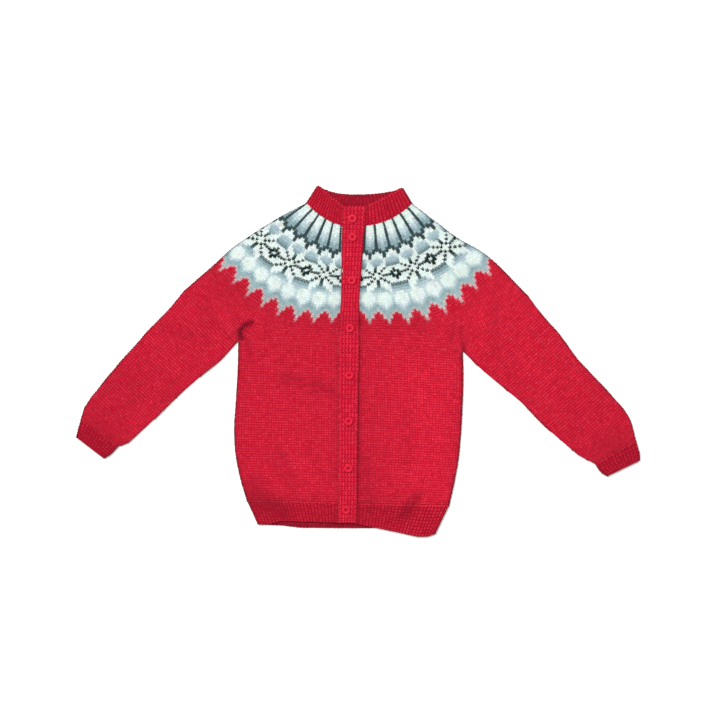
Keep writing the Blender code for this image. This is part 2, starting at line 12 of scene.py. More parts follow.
import bmesh
import bpy
import numpy as np
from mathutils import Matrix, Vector

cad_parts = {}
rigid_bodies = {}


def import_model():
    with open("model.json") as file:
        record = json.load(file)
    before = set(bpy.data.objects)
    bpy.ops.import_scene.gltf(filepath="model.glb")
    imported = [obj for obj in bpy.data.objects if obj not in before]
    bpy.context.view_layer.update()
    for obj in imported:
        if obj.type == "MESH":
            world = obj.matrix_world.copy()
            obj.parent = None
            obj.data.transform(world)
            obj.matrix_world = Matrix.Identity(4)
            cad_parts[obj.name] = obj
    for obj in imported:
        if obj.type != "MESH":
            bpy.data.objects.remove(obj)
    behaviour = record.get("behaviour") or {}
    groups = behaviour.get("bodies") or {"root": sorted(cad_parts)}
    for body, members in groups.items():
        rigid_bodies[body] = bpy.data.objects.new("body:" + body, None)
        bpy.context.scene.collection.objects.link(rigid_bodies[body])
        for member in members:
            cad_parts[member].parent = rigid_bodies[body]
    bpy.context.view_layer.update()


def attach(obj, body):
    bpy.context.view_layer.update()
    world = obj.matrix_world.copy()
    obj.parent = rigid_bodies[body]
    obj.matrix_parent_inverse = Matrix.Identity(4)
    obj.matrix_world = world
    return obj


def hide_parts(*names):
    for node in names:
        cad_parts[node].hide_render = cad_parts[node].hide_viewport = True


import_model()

# Cloth sizes in metres, as in the solids
FRONT_TOP = 0.0076
FRONT_WALL = 0.003
SEAM = 0.0003
BUTTON_RADIUS = 0.0069
BUTTON_FLOOR = 0.0114
BUTTON_TOP = 0.0146
FOLD_REACH = 0.0045
BAND_LAP = 0.001
BAND_SEAM = 0.0006
OVER_BAND_FLOOR = 0.0079
OVER_BAND_TOP = 0.0103
UNDER_EDGE_DIP = 0.0004
UNDER_EDGE_REACH = 0.006
RAMP_WIDTH = 0.024
BAND_TOP_Y = 0.26
BAND_END_Y = -0.272
BAND_RIB_PITCH = 0.0077
LOWEST_TOP = 0.0065
CREASE_BOTTOM = 0.0057
YOKE_BACK_RISE = 0.022
BACK_MIDDLE_X = -0.004
NECK_BACK_MIDDLE_Y = (0.2495, 0.28)

# The shell lies this far under the solids' surface, so that the yarn's crests come out just above it
SINK = 0.001

# Height of the back's shell over the floor, the shell's thickness, and its points round a fold and a piece
UNDER_LIFT = 0.0009
SHELL = 0.0018
TURN_STEPS = 12
AROUND = 480

# Rows of stitches in each piece
BODY_ROWS = 65
YOKE_ROWS = 49
HEM_ROWS = 10
SLEEVE_ROWS = 66
CUFF_ROWS = 7
NECK_ROWS = 9
BAND_ROWS = 6
HEM_INNER_ROWS = 4

# Gauge in metres, and how far the first row of body and sleeves reaches over the seam, in rows
SLEEVE_STITCH = 0.0055
CUFF_RIB = 0.0062
BODY_ROW = 0.0041
TALLEST_ROW = 0.0057
SEAM_REACH = 0.8

# Stitches or ribs from the left front's edge to each mark of a round: edge, folds, edge
BODY_COLUMNS = (0.0, 31.4, 101.7, 134.2)
HEM_RIBS = (0.0, 26.0, 78.0, 104.0)
NECK_RIBS = (0.0, 13.5, 40.5, 54.0)

# Where the first and the last row of ribs start, in rows of the cloth
HEM_RIB_SPAN = (0.1, 9.1)
NECK_RIB_SPAN = (-0.35, 7.65)

# Stitches of ribs, band and chains: share of their pitch across, and of a plain stitch's height
RIB_STITCH = (0.73, 1.2)
INNER_RIB_STITCH = (0.66, 0.8)
CUFF_RIB_STITCH = (0.66, 1.25)
BAND_STITCH = (0.94, 1.0)
CHAIN_STITCH = (0.95, 1.0)

# The back's inner ribs stop this share of the round short of the folds
INNER_MARGIN = 0.02

# Chains of loops along the edges: width, and how far their sides drop
RIM_CHAIN = (0.0046, 0.0011)
BACK_RIM_CHAIN = (0.0046, 0.0009)
EDGE_CHAIN = (0.0046, 0.0012)
SEAM_CHAIN = (0.0058, 0.0008)

# Length of a loop, and of one at the band's free edge
LOOP = 0.006
EDGE_LOOP = BAND_RIB_PITCH / 1.2

# Where the chains lie: in from their edges or out over them, and under or over the cloth's surface.
# The back's rim reaches this far to either side.
RIM_INSET = 0.0014
RIM_SINK = 0.0007
BACK_RIM_LIFT = 0.0003
BACK_RIM_REACH = 0.056
SEAM_CHAIN_INSET = 0.0012
EDGE_CHAIN_OVERHANG = 0.0003

# The bands: share of the width left free at each side of the ribs, height of the eased sides over the
# floor of the upper one, how far its ribs' cloth lies under its top, and how far the under band stays
# inside it and below the front's top
BAND_MARGIN = 0.03
BAND_EASE = 0.001
BAND_SINK = 0.0002
UNDER_BAND_INSET = 0.0015
UNDER_BAND_SINK = 0.0003

# Width of a button's rim, rounding of its edges, depth of its hollow, width of the slope into that, and
# the inset and depth of the dish in its middle. Then the knot of thread in the hollow.
BUTTON_RIM = 0.0034
BUTTON_ROUNDING = 0.0011
BUTTON_HOLLOW = 0.0018
HOLLOW_SLOPE = 0.0006
DISH_INSET = 0.001
DISH_DEPTH = 0.0002
KNOT_RADIUS = 0.0015
KNOT_DEPTH = 0.0016
KNOT_SHAPE = (1.3, 0.8, 0.6)

# The stitches' map seen from above has this name
BAKE_MAP = "OFBake"

# A leg of yarn, in shares of its stitch: where it starts and ends across and up. On the band it slants more.
LEG_RUN = ((0.07, -0.16), (0.38, 1.12))
BAND_LEG_RUN = ((0.02, -0.06), (0.45, 1.04))
LEG_HALF_WIDTH = 0.222
LEG_HEIGHT = 0.0014
UNDER_LEG_HEIGHT = 0.00085
TIP_DEPTH = -0.0003

# Painted shade: how light the yarn is painted at a leg's sides and sunken ends, and on the cloth between
# legs, ribs and band ribs. Then the painted shade of the inner sides of neckband and hem, and the share of
# light that the painted hollows of white wool keep.
SIDE_SHADE = 0.82
TIP_SHADE = 0.74
CLOTH_SHADE = 0.66
RIB_GROUND_SHADE = 0.3
BAND_SHADE = 0.64
INNER_NECK_LIGHT = 0.62
INNER_HEM_LIGHT = 0.45
HOLLOW_LIGHT = 0.7

# Painted shade: the most light that creases and dips take from the colour, what the cloth loses where it
# turns down at an edge, and the tilt at which it has lost all of that, as a share of a right angle
MOST_LOST = 0.97
EDGE_LOSS = 0.64
EDGE_TILT = 0.42

# How uneven the stitches are, as spreads in shares of their own size and tone
UNEVEN_WIDTH = 0.07
UNEVEN_LIFT = 0.08
UNEVEN_SWAY = 0.03
UNEVEN_SLIP = 0.06
UNEVEN_SHADE = 0.05
UNEVEN_TINT = 0.02
UNEVEN_PALE_TINT = 0.015

# Wools below this tone are dark: they are narrower and lie deeper, and the light ones bloom
DARK_WOOL = 0.12
DARK_WIDTH = 0.92
DARK_SINK = 0.15
BLOOM = 0.06

# Painted highlight: the white light that loose fibres scatter, painted into the yarn's colour, most of it
# on the yarn's crests, and taken out again below the middle shade
PAINTED_CREST_HIGHLIGHT = 0.13
MIDDLE_SHADE = 0.88

# The darkest and the lightest that any yarn is
TONE_LIMITS = (0.003, 0.97)

# Sections of a leg: share of its length, of its half width and of its height, and how light it shows,
# as painted light and shade
FRONT_SECTIONS = ((0.18, 0.8, 0.7, 0.92), (0.48, 1.0, 1.0, 1.15), (0.82, 0.8, 0.6, 0.8))
BACK_SECTIONS = ((0.28, 0.95, 1.0, 1.05), (0.74, 0.95, 0.8, 0.95))

# The edges of the buttonhole band: y, left x, right x
BAND_EDGES = (
    (0.261, -0.024, 0.014),
    (0.212, -0.0255, 0.011),
    (0.102, -0.027, 0.0025),
    (0.035, -0.032, 0.0035),
    (-0.066, -0.032, 0.001),
    (-0.2, -0.032, 0.0),
    (-0.3, -0.032, -0.002),
)

# Body rounds from the underarms to the hem rib:
# share of the way down, left side x and y, left edge y, right edge y, right side x and y
BODY_ROUNDS = (
    (0.0, -0.201, 0.032, 0.027, 0.026, 0.177, 0.015),
    (0.12, -0.2015, 0.0, -0.005, -0.006, 0.178, -0.016),
    (0.37, -0.205, -0.066, -0.071, -0.072, 0.1765, -0.08),
    (0.56, -0.208, -0.117, -0.121, -0.122, 0.1735, -0.129),
    (0.71, -0.2055, -0.157, -0.16, -0.161, 0.1695, -0.168),
    (0.84, -0.199, -0.192, -0.195, -0.196, 0.1635, -0.201),
    (1.0, -0.187, -0.234, -0.237, -0.239, 0.1545, -0.242),
)

# Lower edge of the hem rib: x, y, on the front and on the back
HEM_LEFT_SIDE = (-0.168, -0.2755)
HEM_RIGHT_SIDE = (0.1305, -0.29)
HEM_FRONT_END = (
    (-0.168, -0.2755),
    (-0.147, -0.274),
    (-0.127, -0.269),
    (-0.097, -0.27),
    (-0.026, -0.272),
    (-0.001, -0.274),
    (0.038, -0.282),
    (0.071, -0.289),
    (0.1, -0.2955),
    (0.118, -0.2955),
    (0.1305, -0.29),
)
HEM_BACK_END = (
    (-0.168, -0.2755),
    (-0.13, -0.2765),
    (-0.097, -0.2805),
    (-0.026, -0.2812),
    (0.052, -0.2812),
    (0.096, -0.289),
    (0.1305, -0.29),
)

# Yoke rounds from the underarms to the neck: share of the way up, left edge y, bend x and y,
# left shoulder x and y, direction the shoulder faces in degrees, roundness of the bend
YOKE_LEFT_ROUNDS = (
    (0.0, 0.027, -0.201, 0.032, -0.292, 0.119, 136.3, 0.0),
    (0.19, 0.066, -0.139, 0.067, -0.241, 0.163, 131.5, 0.6),
    (0.4, 0.107, -0.117, 0.102, -0.209, 0.192, 128.5, 0.8),
    (0.56, 0.138, -0.125, 0.144, -0.176, 0.215, 123.0, 1.0),
    (0.76, 0.175, -0.093, 0.185, -0.137, 0.239, 120.0, 1.0),
    (1.0, 0.227, -0.06, 0.237, -0.086, 0.2665, 132.0, 1.0),
)
YOKE_RIGHT_ROUNDS = (
    (0.0, 0.026, 0.177, 0.015, 0.286, 0.111, 41.4, 0.0),
    (0.19, 0.065, 0.138, 0.064, 0.238, 0.16, 47.0, 0.5),
    (0.4, 0.107, 0.118, 0.099, 0.206, 0.186, 52.0, 0.8),
    (0.56, 0.136, 0.113, 0.141, 0.169, 0.207, 54.0, 1.0),
    (0.76, 0.175, 0.083, 0.175, 0.133, 0.234, 52.0, 1.0),
    (1.0, 0.227, 0.054, 0.23, 0.092, 0.265, 42.0, 1.0),
)
NECK_LEFT_ROUNDS = (
    (0.0, 0.2275, -0.06, 0.2375, -0.086, 0.267, 132.0, 1.0),
    (1.0, 0.261, -0.045, 0.277, -0.0675, 0.296, 147.0, 1.0),
)
NECK_RIGHT_ROUNDS = (
    (0.0, 0.2275, 0.054, 0.2305, 0.092, 0.2655, 42.0, 1.0),
    (1.0, 0.26, 0.048, 0.277, 0.0755, 0.2925, 31.0, 1.0),
)

# Sleeve and cuff sections from the yoke outwards: upper edge x and y, lower edge x and y
SLEEVE_LEFT_SECTIONS = (
    (-0.292, 0.119, -0.201, 0.032),
    (-0.319, 0.086, -0.231, -0.001),
    (-0.348, 0.057, -0.262, -0.025),
    (-0.377, 0.024, -0.294, -0.053),
    (-0.406, -0.008, -0.325, -0.083),
    (-0.432, -0.04, -0.356, -0.112),
    (-0.457, -0.073, -0.384, -0.137),
    (-0.4656, -0.0965, -0.402, -0.1445),
)
CUFF_LEFT_SECTIONS = (
    (-0.4656, -0.0965, -0.402, -0.1445),
    (-0.471, -0.115, -0.413, -0.156),
    (-0.4735, -0.128, -0.426, -0.1645),
)
SLEEVE_RIGHT_SECTIONS = (
    (0.286, 0.111, 0.177, 0.015),
    (0.311, 0.078, 0.207, -0.014),
    (0.341, 0.044, 0.2415, -0.043),
    (0.367, 0.008, 0.2755, -0.071),
    (0.3965, -0.024, 0.306, -0.103),
    (0.427, -0.057, 0.34, -0.133),
    (0.456, -0.093, 0.371, -0.159),
    (0.4683, -0.132, 0.398, -0.1732),
)
CUFF_RIGHT_SECTIONS = (
    (0.4683, -0.132, 0.398, -0.1732),
    (0.4745, -0.153, 0.407, -0.1865),
    (0.475, -0.167, 0.419, -0.194),
)

# Folds of the front, as soft ridges and, where the rise is below zero, troughs:
# start x and y, end x and y, rise, half width
FOLDS = (
    # Left underarm: a deep crease between two swellings, and a fainter one beside it
    (-0.203, 0.036, -0.181, 0.066, -0.0012, 0.005),
    (-0.216, 0.044, -0.196, 0.08, 0.0013, 0.009),
    (-0.186, 0.036, -0.171, 0.072, 0.0011, 0.007),
    (-0.161, 0.088, -0.162, 0.046, -0.0007, 0.006),
    (-0.162, 0.046, -0.176, 0.008, -0.0007, 0.006),
    # Right underarm
    (0.174, 0.052, 0.177, 0.018, -0.0007, 0.005),
    (0.158, 0.066, 0.16, 0.02, 0.001, 0.009),
    (0.194, 0.06, 0.192, 0.034, 0.001, 0.009),
    # Left front: a slanting crease below the middle, and slanting swellings above the hem
    (-0.119, -0.032, -0.083, -0.042, -0.0008, 0.007),
    (-0.083, -0.042, -0.046, -0.05, -0.0009, 0.007),
    (-0.11, -0.012, -0.06, -0.024, 0.0007, 0.011),
    (-0.098, -0.06, -0.056, -0.07, 0.0006, 0.011),
    (-0.15, -0.16, -0.112, -0.218, 0.001, 0.008),
    (-0.125, -0.155, -0.092, -0.206, 0.001, 0.008),
    (-0.178, -0.19, -0.15, -0.228, 0.0018, 0.012),
    # Right front: a long upright crease that deepens into the hem, and a dip beside the band
    (0.081, -0.082, 0.086, -0.183, -0.0007, 0.007),
    (0.1, -0.218, 0.079, -0.266, -0.0012, 0.008),
    (0.118, -0.205, 0.102, -0.264, 0.0018, 0.01),
    (0.084, -0.196, 0.058, -0.262, 0.0014, 0.009),
    (0.016, -0.174, 0.03, -0.178, -0.0007, 0.01),
    (0.03, -0.206, 0.034, -0.236, -0.0006, 0.012),
    # Sides of the body, and the swelling above the hem rib
    (-0.19, 0.0, -0.196, -0.17, 0.0014, 0.013),
    (0.164, -0.02, 0.154, -0.2, 0.0014, 0.013),
    (-0.14, -0.226, -0.05, -0.228, 0.0012, 0.01),
    (0.01, -0.23, 0.14, -0.234, 0.0012, 0.01),
    # Broad swellings of the fronts
    (-0.13, 0.02, -0.14, -0.14, 0.0008, 0.02),
    (0.045, 0.01, 0.042, -0.15, 0.0008, 0.022),
    (0.12, 0.0, 0.116, -0.15, 0.0009, 0.02),
    # Left sleeve
    (-0.248, 0.112, -0.253, 0.026, -0.0007, 0.006),
    (-0.327, 0.057, -0.268, 0.04, -0.0007, 0.006),
    (-0.27, 0.086, -0.3, 0.024, 0.0012, 0.016),
    (-0.32, 0.02, -0.395, -0.06, 0.0015, 0.022),
    (-0.418, -0.086, -0.392, -0.116, 0.0016, 0.012),
    # Right sleeve
    (0.231, 0.106, 0.23, -0.008, -0.0009, 0.006),
    (0.212, 0.092, 0.211, 0.012, 0.001, 0.01),
    (0.252, 0.098, 0.256, -0.008, 0.0012, 0.013),
    (0.3, 0.04, 0.385, -0.06, 0.0015, 0.024),
    (0.43, -0.116, 0.398, -0.14, 0.0016, 0.012),
    # Shoulders and collar
    (-0.23, 0.14, -0.15, 0.198, 0.001, 0.02),
    (0.225, 0.132, 0.14, 0.194, 0.001, 0.02),
    (-0.044, 0.268, -0.066, 0.284, 0.0012, 0.014),
    (0.034, 0.266, 0.07, 0.281, 0.0012, 0.014),
)

# Deep creases where the cloth is pinched: start x and y, end x and y, depth, half width, share of light lost
# as painted shade in the yarn's colour
CREASES = (
    # Left underarm, where the sleeve lies over the body
    (-0.1965, 0.0385, -0.1967, 0.0509, 0.002, 0.0048, 0.96),
    (-0.1967, 0.0509, -0.19, 0.0588, 0.002, 0.0044, 0.9),
    (-0.19, 0.0588, -0.1801, 0.0645, 0.0018, 0.0044, 0.9),
    (-0.186, 0.028, -0.178, 0.006, 0.0006, 0.006, 0.22),
    # Right underarm
    (0.176, 0.03, 0.178, 0.019, 0.001, 0.003, 0.6),
    (0.173, 0.054, 0.176, 0.036, 0.0006, 0.0032, 0.25),
    (0.16, 0.06, 0.158, 0.034, 0.0004, 0.005, 0.15),
    # Left front, below the middle and above the hem
    (-0.126, -0.026, -0.083, -0.04, 0.0005, 0.008, 0.3),
    (-0.083, -0.04, -0.048, -0.05, 0.0005, 0.008, 0.32),
    (-0.138, -0.15, -0.104, -0.212, 0.0005, 0.006, 0.18),
    # Right front, an upright crease into the hem
    (0.081, -0.082, 0.086, -0.183, 0.0005, 0.006, 0.17),
    (0.097, -0.228, 0.08, -0.26, 0.0008, 0.009, 0.44),
    (0.128, -0.214, 0.114, -0.268, 0.0005, 0.006, 0.08),
    # Sleeves
    (-0.327, 0.057, -0.268, 0.04, 0.0005, 0.006, 0.2),
    (-0.248, 0.108, -0.253, 0.03, 0.0003, 0.005, 0.12),
    (0.231, 0.096, 0.233, 0.012, 0.0006, 0.005, 0.13),
    (-0.3, -0.03, -0.33, -0.07, 0.0005, 0.007, 0.14),
    (0.33, -0.03, 0.372, -0.092, 0.0005, 0.007, 0.1),
    # Beside the buttonhole band, in its shade: a painted shadow, with no depth
    (0.0148, 0.228, 0.0122, 0.212, 0.0, 0.004, 0.2),
    (0.0122, 0.212, 0.0045, 0.102, 0.0, 0.004, 0.26),
    (0.0045, 0.102, 0.0055, 0.035, 0.0, 0.004, 0.14),
    (0.0055, 0.035, 0.003, -0.066, 0.0, 0.004, 0.18),
    (0.003, -0.066, 0.001, -0.27, 0.0, 0.004, 0.22),
    (-0.026, 0.226, -0.0285, 0.102, 0.0, 0.003, 0.2),
    (-0.0285, 0.102, -0.0335, 0.035, 0.0, 0.003, 0.06),
    (-0.0335, 0.035, -0.0335, -0.27, 0.0, 0.003, 0.05),
)

# Painted light and shade of broad dips and swellings, where the cloth falls away from the light or rises
# to it: start x and y, end x and y, half width, share of light lost, or gained where it is below zero
SHADES = (
    # Left front: brighter below the crease, dark in the corner above the hem
    (-0.12, -0.07, -0.1, -0.215, 0.065, -0.07),
    (-0.178, -0.224, -0.13, -0.252, 0.022, 0.3),
    # Right front: bright down its side, with a dip beside the band and another above the hem
    (0.11, -0.03, 0.112, -0.22, 0.062, -0.2),
    (0.014, -0.168, 0.022, -0.25, 0.012, 0.18),
    (0.05, -0.246, 0.076, -0.252, 0.014, 0.08),
    # The yoke's red ground, across both fronts and on the left shoulder
    (-0.1, 0.068, 0.1, 0.066, 0.018, 0.12),
    (-0.235, 0.14, -0.13, 0.085, 0.022, 0.14),
    # Left sleeve, darker towards its cuff
    (-0.4, -0.03, -0.43, -0.1, 0.05, 0.12),
    (-0.462, -0.13, -0.42, -0.16, 0.026, 0.12),
    # Right sleeve, bright above its middle and darker towards its cuff
    (0.205, 0.085, 0.205, 0.02, 0.018, -0.07),
    (0.25, 0.06, 0.33, -0.04, 0.06, -0.12),
    (0.44, -0.15, 0.45, -0.175, 0.034, 0.12),
    # Buttonhole band, which lies highest below the collar and is darker at its top
    (-0.014, 0.18, -0.016, -0.265, 0.012, -0.12),
    (-0.006, 0.268, -0.007, 0.238, 0.016, 0.1),
    # Collar beside the band
    (-0.04, 0.266, -0.036, 0.238, 0.012, -0.08),
    (0.026, 0.266, 0.023, 0.238, 0.012, -0.1),
)

# Button centres, top to bottom: x, y
BUTTON_CENTRES = (
    (-0.0085, 0.239),
    (-0.0085, 0.208),
    (-0.01, 0.135),
    (-0.013, 0.055),
    (-0.014, -0.024),
    (-0.015, -0.101),
    (-0.0155, -0.18),
    (-0.0195, -0.25),
)

# The yoke's chart. Its wools, as they show in daylight: red, green, blue of 255
WOOLS = {
    "R": (217, 17, 57),
    "F": (214, 150, 158),
    "P": (216, 196, 198),
    "T": (168, 198, 200),
    "G": (154, 182, 188),
    "B": (178, 202, 208),
    "L": (203, 221, 224),
    "W": (231, 243, 239),
    "M": (122, 148, 152),
    "D": (94, 120, 122),
    "C": (58, 84, 86),
    "K": (8, 50, 46),
}

# From the underarm, first row first. A zigzag over red with diamonds above it, six stitches wide
ZIGZAG_FIRST_ROW = 9
ZIGZAG = (
    "RRRFRR",
    "RRRPRR",
    "RRPTPR",
    "RRPTPR",
    "RPTTTP",
    "PTTBTT",
    "TGBLBG",
    "GBLWLB",
    "BLWWWL",
    "LWWWWW",
    "LWWWWW",
    "LWWWWW",
    "LLWWWL",
)

# Stars with eight petals, twelve stitches wide: half of each row from the star's middle outwards to the
# cross between two stars, from the middle row up. A point stands for the ground, one wool for each row.
STAR_MIDDLE_ROW = 28
STAR_HALF = ("WW....W", "W.WWW..", ".W.WWW.", ".WW.WWW", ".WWW...", "..WW...", "...W...")
STAR_GROUND = "BGDCKKKKKCMGB"
ABOVE_STARS = "BBLWLBB"

# Scallops with a tick between them, then petals up to the neck, four stitches wide
PETALS_FIRST_ROW = 36
PETALS = (
    "LWCW",
    "WWCW",
    "WCCC",
    "CCGC",
    "CGGG",
    "CGBG",
    "CBLB",
    "CLLL",
    "CLWL",
    "CWWW",
    "CWWW",
    "CWWW",
    "CWWW",
)

# Stitches from each front's edge to its shoulder, and how far in from the edge the chart starts:
# row, left stitches, left start, right stitches, right start, stitches once round
YOKE_COUNTS = (
    (0, 47.4, -1.05, 49.5, 1.03, 192),
    (21, 47.4, -1.05, 49.5, 1.03, 192),
    (22, 33.6, -0.4, 34.6, 0.1, 144),
    (35, 33.6, -0.4, 34.6, 0.1, 144),
    (36, 22.7, 0.1, 24.2, 0.78, 96),
    (48, 21.2, 0.2, 23.3, 0.9, 96),
)

# Light: power in watts, side and place of the softbox, and the white of the studio round it
SOFTBOX_POWER = 194.0
SOFTBOX_SIZE = 2.2
SOFTBOX_PLACE = (-1.1, 1.4, 4.2)
STUDIO_LIGHT = 0.62

# The camera's place over the front, and how wide a strip of the floor it frames
CAMERA_PLACE = (0.00403, 0.00168)
FRAME_WIDTH = 1.2096


def linear(colour):
    """A colour as light: red, green and blue of 255, turned from how it shows."""
    share = np.asarray(colour, float) / 255
    return np.where(share <= 0.04045, share / 12.92, ((share + 0.055) / 1.055) ** 2.4)


def unit(vector):
    return np.asarray(vector, float) / np.linalg.norm(vector)


def facing(degrees):
    angle = math.radians(degrees)
    return np.array((math.cos(angle), math.sin(angle)))


def smooth_row(table, share):
    """The table's row at this share, on a smooth curve through its rows. The first column is the share."""
    rows = np.asarray(table, float)
    where = rows[:, 0]
    slopes = np.gradient(rows[:, 1:], where, axis=0)
    index = int(np.clip(np.searchsorted(where, share) - 1, 0, len(where) - 2))
    span = where[index + 1] - where[index]
    t = np.clip((share - where[index]) / span, 0.0, 1.0)
    start, end = rows[index, 1:], rows[index + 1, 1:]
    rise = (2 * t**3 - 3 * t**2 + 1) * start + (3 * t**2 - 2 * t**3) * end
    return rise + span * ((t**3 - 2 * t**2 + t) * slopes[index] + (t**3 - t**2) * slopes[index + 1])


def band_edge(y, column):
    rows = np.asarray(BAND_EDGES[::-1])
    return np.interp(y, rows[:, 0], rows[:, column])


def left_front_edge(y):
    return band_edge(y, 1) - BAND_SEAM


def right_front_edge(y):
    return band_edge(y, 2) - BAND_LAP


def nearness(x, y, line, width):
    """One on the line from start to end, and softly down to nothing beyond this half width."""
    start_x, start_y, end_x, end_y = line
    along_x, along_y = end_x - start_x, end_y - start_y
    t = ((x - start_x) * along_x + (y - start_y) * along_y) / (along_x**2 + along_y**2)
    t = np.clip(t, 0.0, 1.0)
    distance = np.hypot(x - start_x - t * along_x, y - start_y - t * along_y)
    return np.exp(-((distance / width) ** 2))


def fold_rise(x, y):
    """How far the soft folds lift the front at these places."""
    rise = np.zeros_like(x)
    for fold in FOLDS:
        rise += fold[4] * nearness(x, y, fold[:4], fold[5])
    return rise


def crease_depth(x, y, column):
    """How deep the creases are at these places, or with another column how much light they lose."""
    depth = np.zeros_like(x)
    for crease in CREASES:
        depth = np.maximum(depth, crease[column] * nearness(x, y, crease[:4], crease[5]))
    return depth


def upper_share(level):
    """One on the front and round its folds, and down to nothing on the back."""
    return np.clip((level + 1) / 0.8, 0.0, 1.0)


def light_kept(x, y, level):
    """Painted light and shade: the share of the light that reaches the yarn at these places. Cloth that turns
    down gets less.
    """
    lost = crease_depth(x, y, 6)
    for shade in SHADES:
        lost = lost + shade[5] * nearness(x, y, shade[:4], shade[4])
    tilt = np.arccos(np.clip(level, 0.0, 1.0)) / (math.pi / 2)
    edge = EDGE_LOSS * np.clip(tilt / EDGE_TILT, 0.0, 1.0) ** 2
    upper = upper_share(level)
    return 1 - np.minimum(lost, MOST_LOST) * upper - edge * upper


def front_top(x, y):
    """Height of the front's upper surface. It meets both bands at their own heights."""
    x, y = np.asarray(x, float), np.asarray(y, float)
    edge = band_edge(y, 1)
    t = np.clip(1.0 - (edge - x) / RAMP_WIDTH, 0.0, 1.0)
    ramp = np.where(x > edge, 0.0, t * t * (3 - 2 * t))
    tucked = np.where(x > edge, np.exp(-(((x - band_edge(y, 2)) / UNDER_EDGE_REACH) ** 2)), 0.0)
    folds = fold_rise(x, y) * (1 - ramp) * (1 - tucked)
    band_rise = OVER_BAND_FLOOR + FRONT_WALL - FRONT_TOP
    top = np.maximum(FRONT_TOP + folds + band_rise * ramp - UNDER_EDGE_DIP * tucked, LOWEST_TOP)
    return np.maximum(top - crease_depth(x, y, 4), CREASE_BOTTOM)


def straight(start, end, steps=40):
    t = np.linspace(0.0, 1.0, steps + 1)[:, None]
    return np.asarray(start) * (1 - t) + np.asarray(end) * t


def on_front(line):
    return np.column_stack((line, front_top(line[:, 0], line[:, 1]) - SINK))


def on_back(line):
    return np.column_stack((line, np.full(len(line), UNDER_LIFT)))


def turn(middle, outward):
    """The fold from the front's surface round to the back's, on half an ellipse."""
    top = float(front_top(*middle)) - SINK
    centre, half = (top + UNDER_LIFT) / 2, (top - UNDER_LIFT) / 2
    angles = np.linspace(0.0, math.pi, TURN_STEPS + 1)[1:-1]
    places = middle + outward * (FOLD_REACH - SINK) * np.sin(angles)[:, None]
    return np.column_stack((places, centre + half * np.cos(angles)))


def open_round(left, left_out, back, right_out, right):
    """Once round a piece that is open down the front, and the indexes of its two folds."""
    first = turn(left[-1], left_out)
    second = turn(right[0], right_out)[::-1]
    half = len(first) // 2
    folds = (len(left) + half, len(left) + len(first) + len(back) + half)
    return np.vstack((on_front(left), first, on_back(back), second, on_front(right))), folds


def tube_round(section):
    """Once round a flattened tube from its lower fold, and the index of its upper fold."""
    upper, lower = section[:2], section[2:]
    outward = unit(upper - lower)
    top, bottom = upper - outward * FOLD_REACH, lower + outward * FOLD_REACH
    line = straight(bottom, top)
    low, high = turn(bottom, -outward), turn(top, outward)
    half = len(low) // 2
    points = (low[half::-1], on_front(line), high, on_back(line[::-1]), low[: half - 1 : -1])
    return np.vstack(points), (half + 1 + len(line) + half,)


def body_middle(share):
    row = smooth_row(BODY_ROUNDS, share)
    return np.array((BACK_MIDDLE_X, (row[2] + row[3]) / 2))


def through(start, middle, end):
    return np.vstack((straight(start, middle)[:-1], straight(middle, end)))


def body_round(share):
    left_x, left_y, left_edge_y, right_edge_y, right_x, right_y = smooth_row(BODY_ROUNDS, share)
    left_side = (left_x + FOLD_REACH, left_y)
    right_side = (right_x - FOLD_REACH, right_y)
    return open_round(
        straight((left_front_edge(left_edge_y), left_edge_y), left_side),
        facing(180),
        through(left_side, body_middle(share), right_side),
        facing(0),
        straight(right_side, (right_front_edge(right_edge_y), right_edge_y)),
    )


def hem_round(share):
    """A round of the hem rib, this share of the way from its lower edge up to the body."""
    left_x, left_y, left_edge_y, right_edge_y, right_x, right_y = BODY_ROUNDS[-1][1:]
    down = (0.0, SEAM / 3)
    left_side = np.array((left_x + FOLD_REACH, left_y)) - down
    right_side = np.array((right_x - FOLD_REACH, right_y)) - down
    left_edge = np.array((left_front_edge(left_edge_y), left_edge_y)) - down
    right_edge = np.array((right_front_edge(right_edge_y), right_edge_y)) - down
    front_end, back_end = np.asarray(HEM_FRONT_END), np.asarray(HEM_BACK_END)
    left_low, right_low = HEM_LEFT_SIDE[0] + FOLD_REACH, HEM_RIGHT_SIDE[0] - FOLD_REACH

    def blended(top, start_x, end_x, end):
        xs = np.linspace(start_x, end_x, len(top))
        low = np.column_stack((xs, np.interp(xs, end[:, 0], end[:, 1])))
        return low * (1 - share) + top * share

    left = blended(straight(left_edge, left_side), left_front_edge(BAND_END_Y), left_low, front_end)
    right = blended(straight(right_side, right_edge), right_low, right_front_edge(BAND_END_Y), front_end)
    top = through(left_side, body_middle(1.0) - down, right_side)
    back = blended(top, left_low, right_low, back_end)
    back[0], back[-1] = left[-1], right[0]
    return open_round(left, facing(180), back, facing(0), right)


def evenly(line, steps):
    """Points at equal steps along a line of points."""
    lengths = np.linalg.norm(np.diff(line, axis=0), axis=1)
    along = np.concatenate(([0.0], np.cumsum(lengths)))
    wanted = np.linspace(0.0, along[-1], steps + 1)
    return np.column_stack([np.interp(wanted, along, line[:, axis]) for axis in range(line.shape[1])])


def rounded_line(start, bend, end, roundness):
    """A line from start to end round a bend."""
    start, bend, end = (np.asarray(point, float) for point in (start, bend, end))
    enter = bend + (start - bend) * roundness
    leave = bend + (end - bend) * roundness
    t = np.linspace(0.0, 1.0, 41)[:, None]
    curve = enter * (1 - t) ** 2 + bend * 2 * t * (1 - t) + leave * t**2
    return evenly(np.vstack((start[None], curve, end[None])), 80)


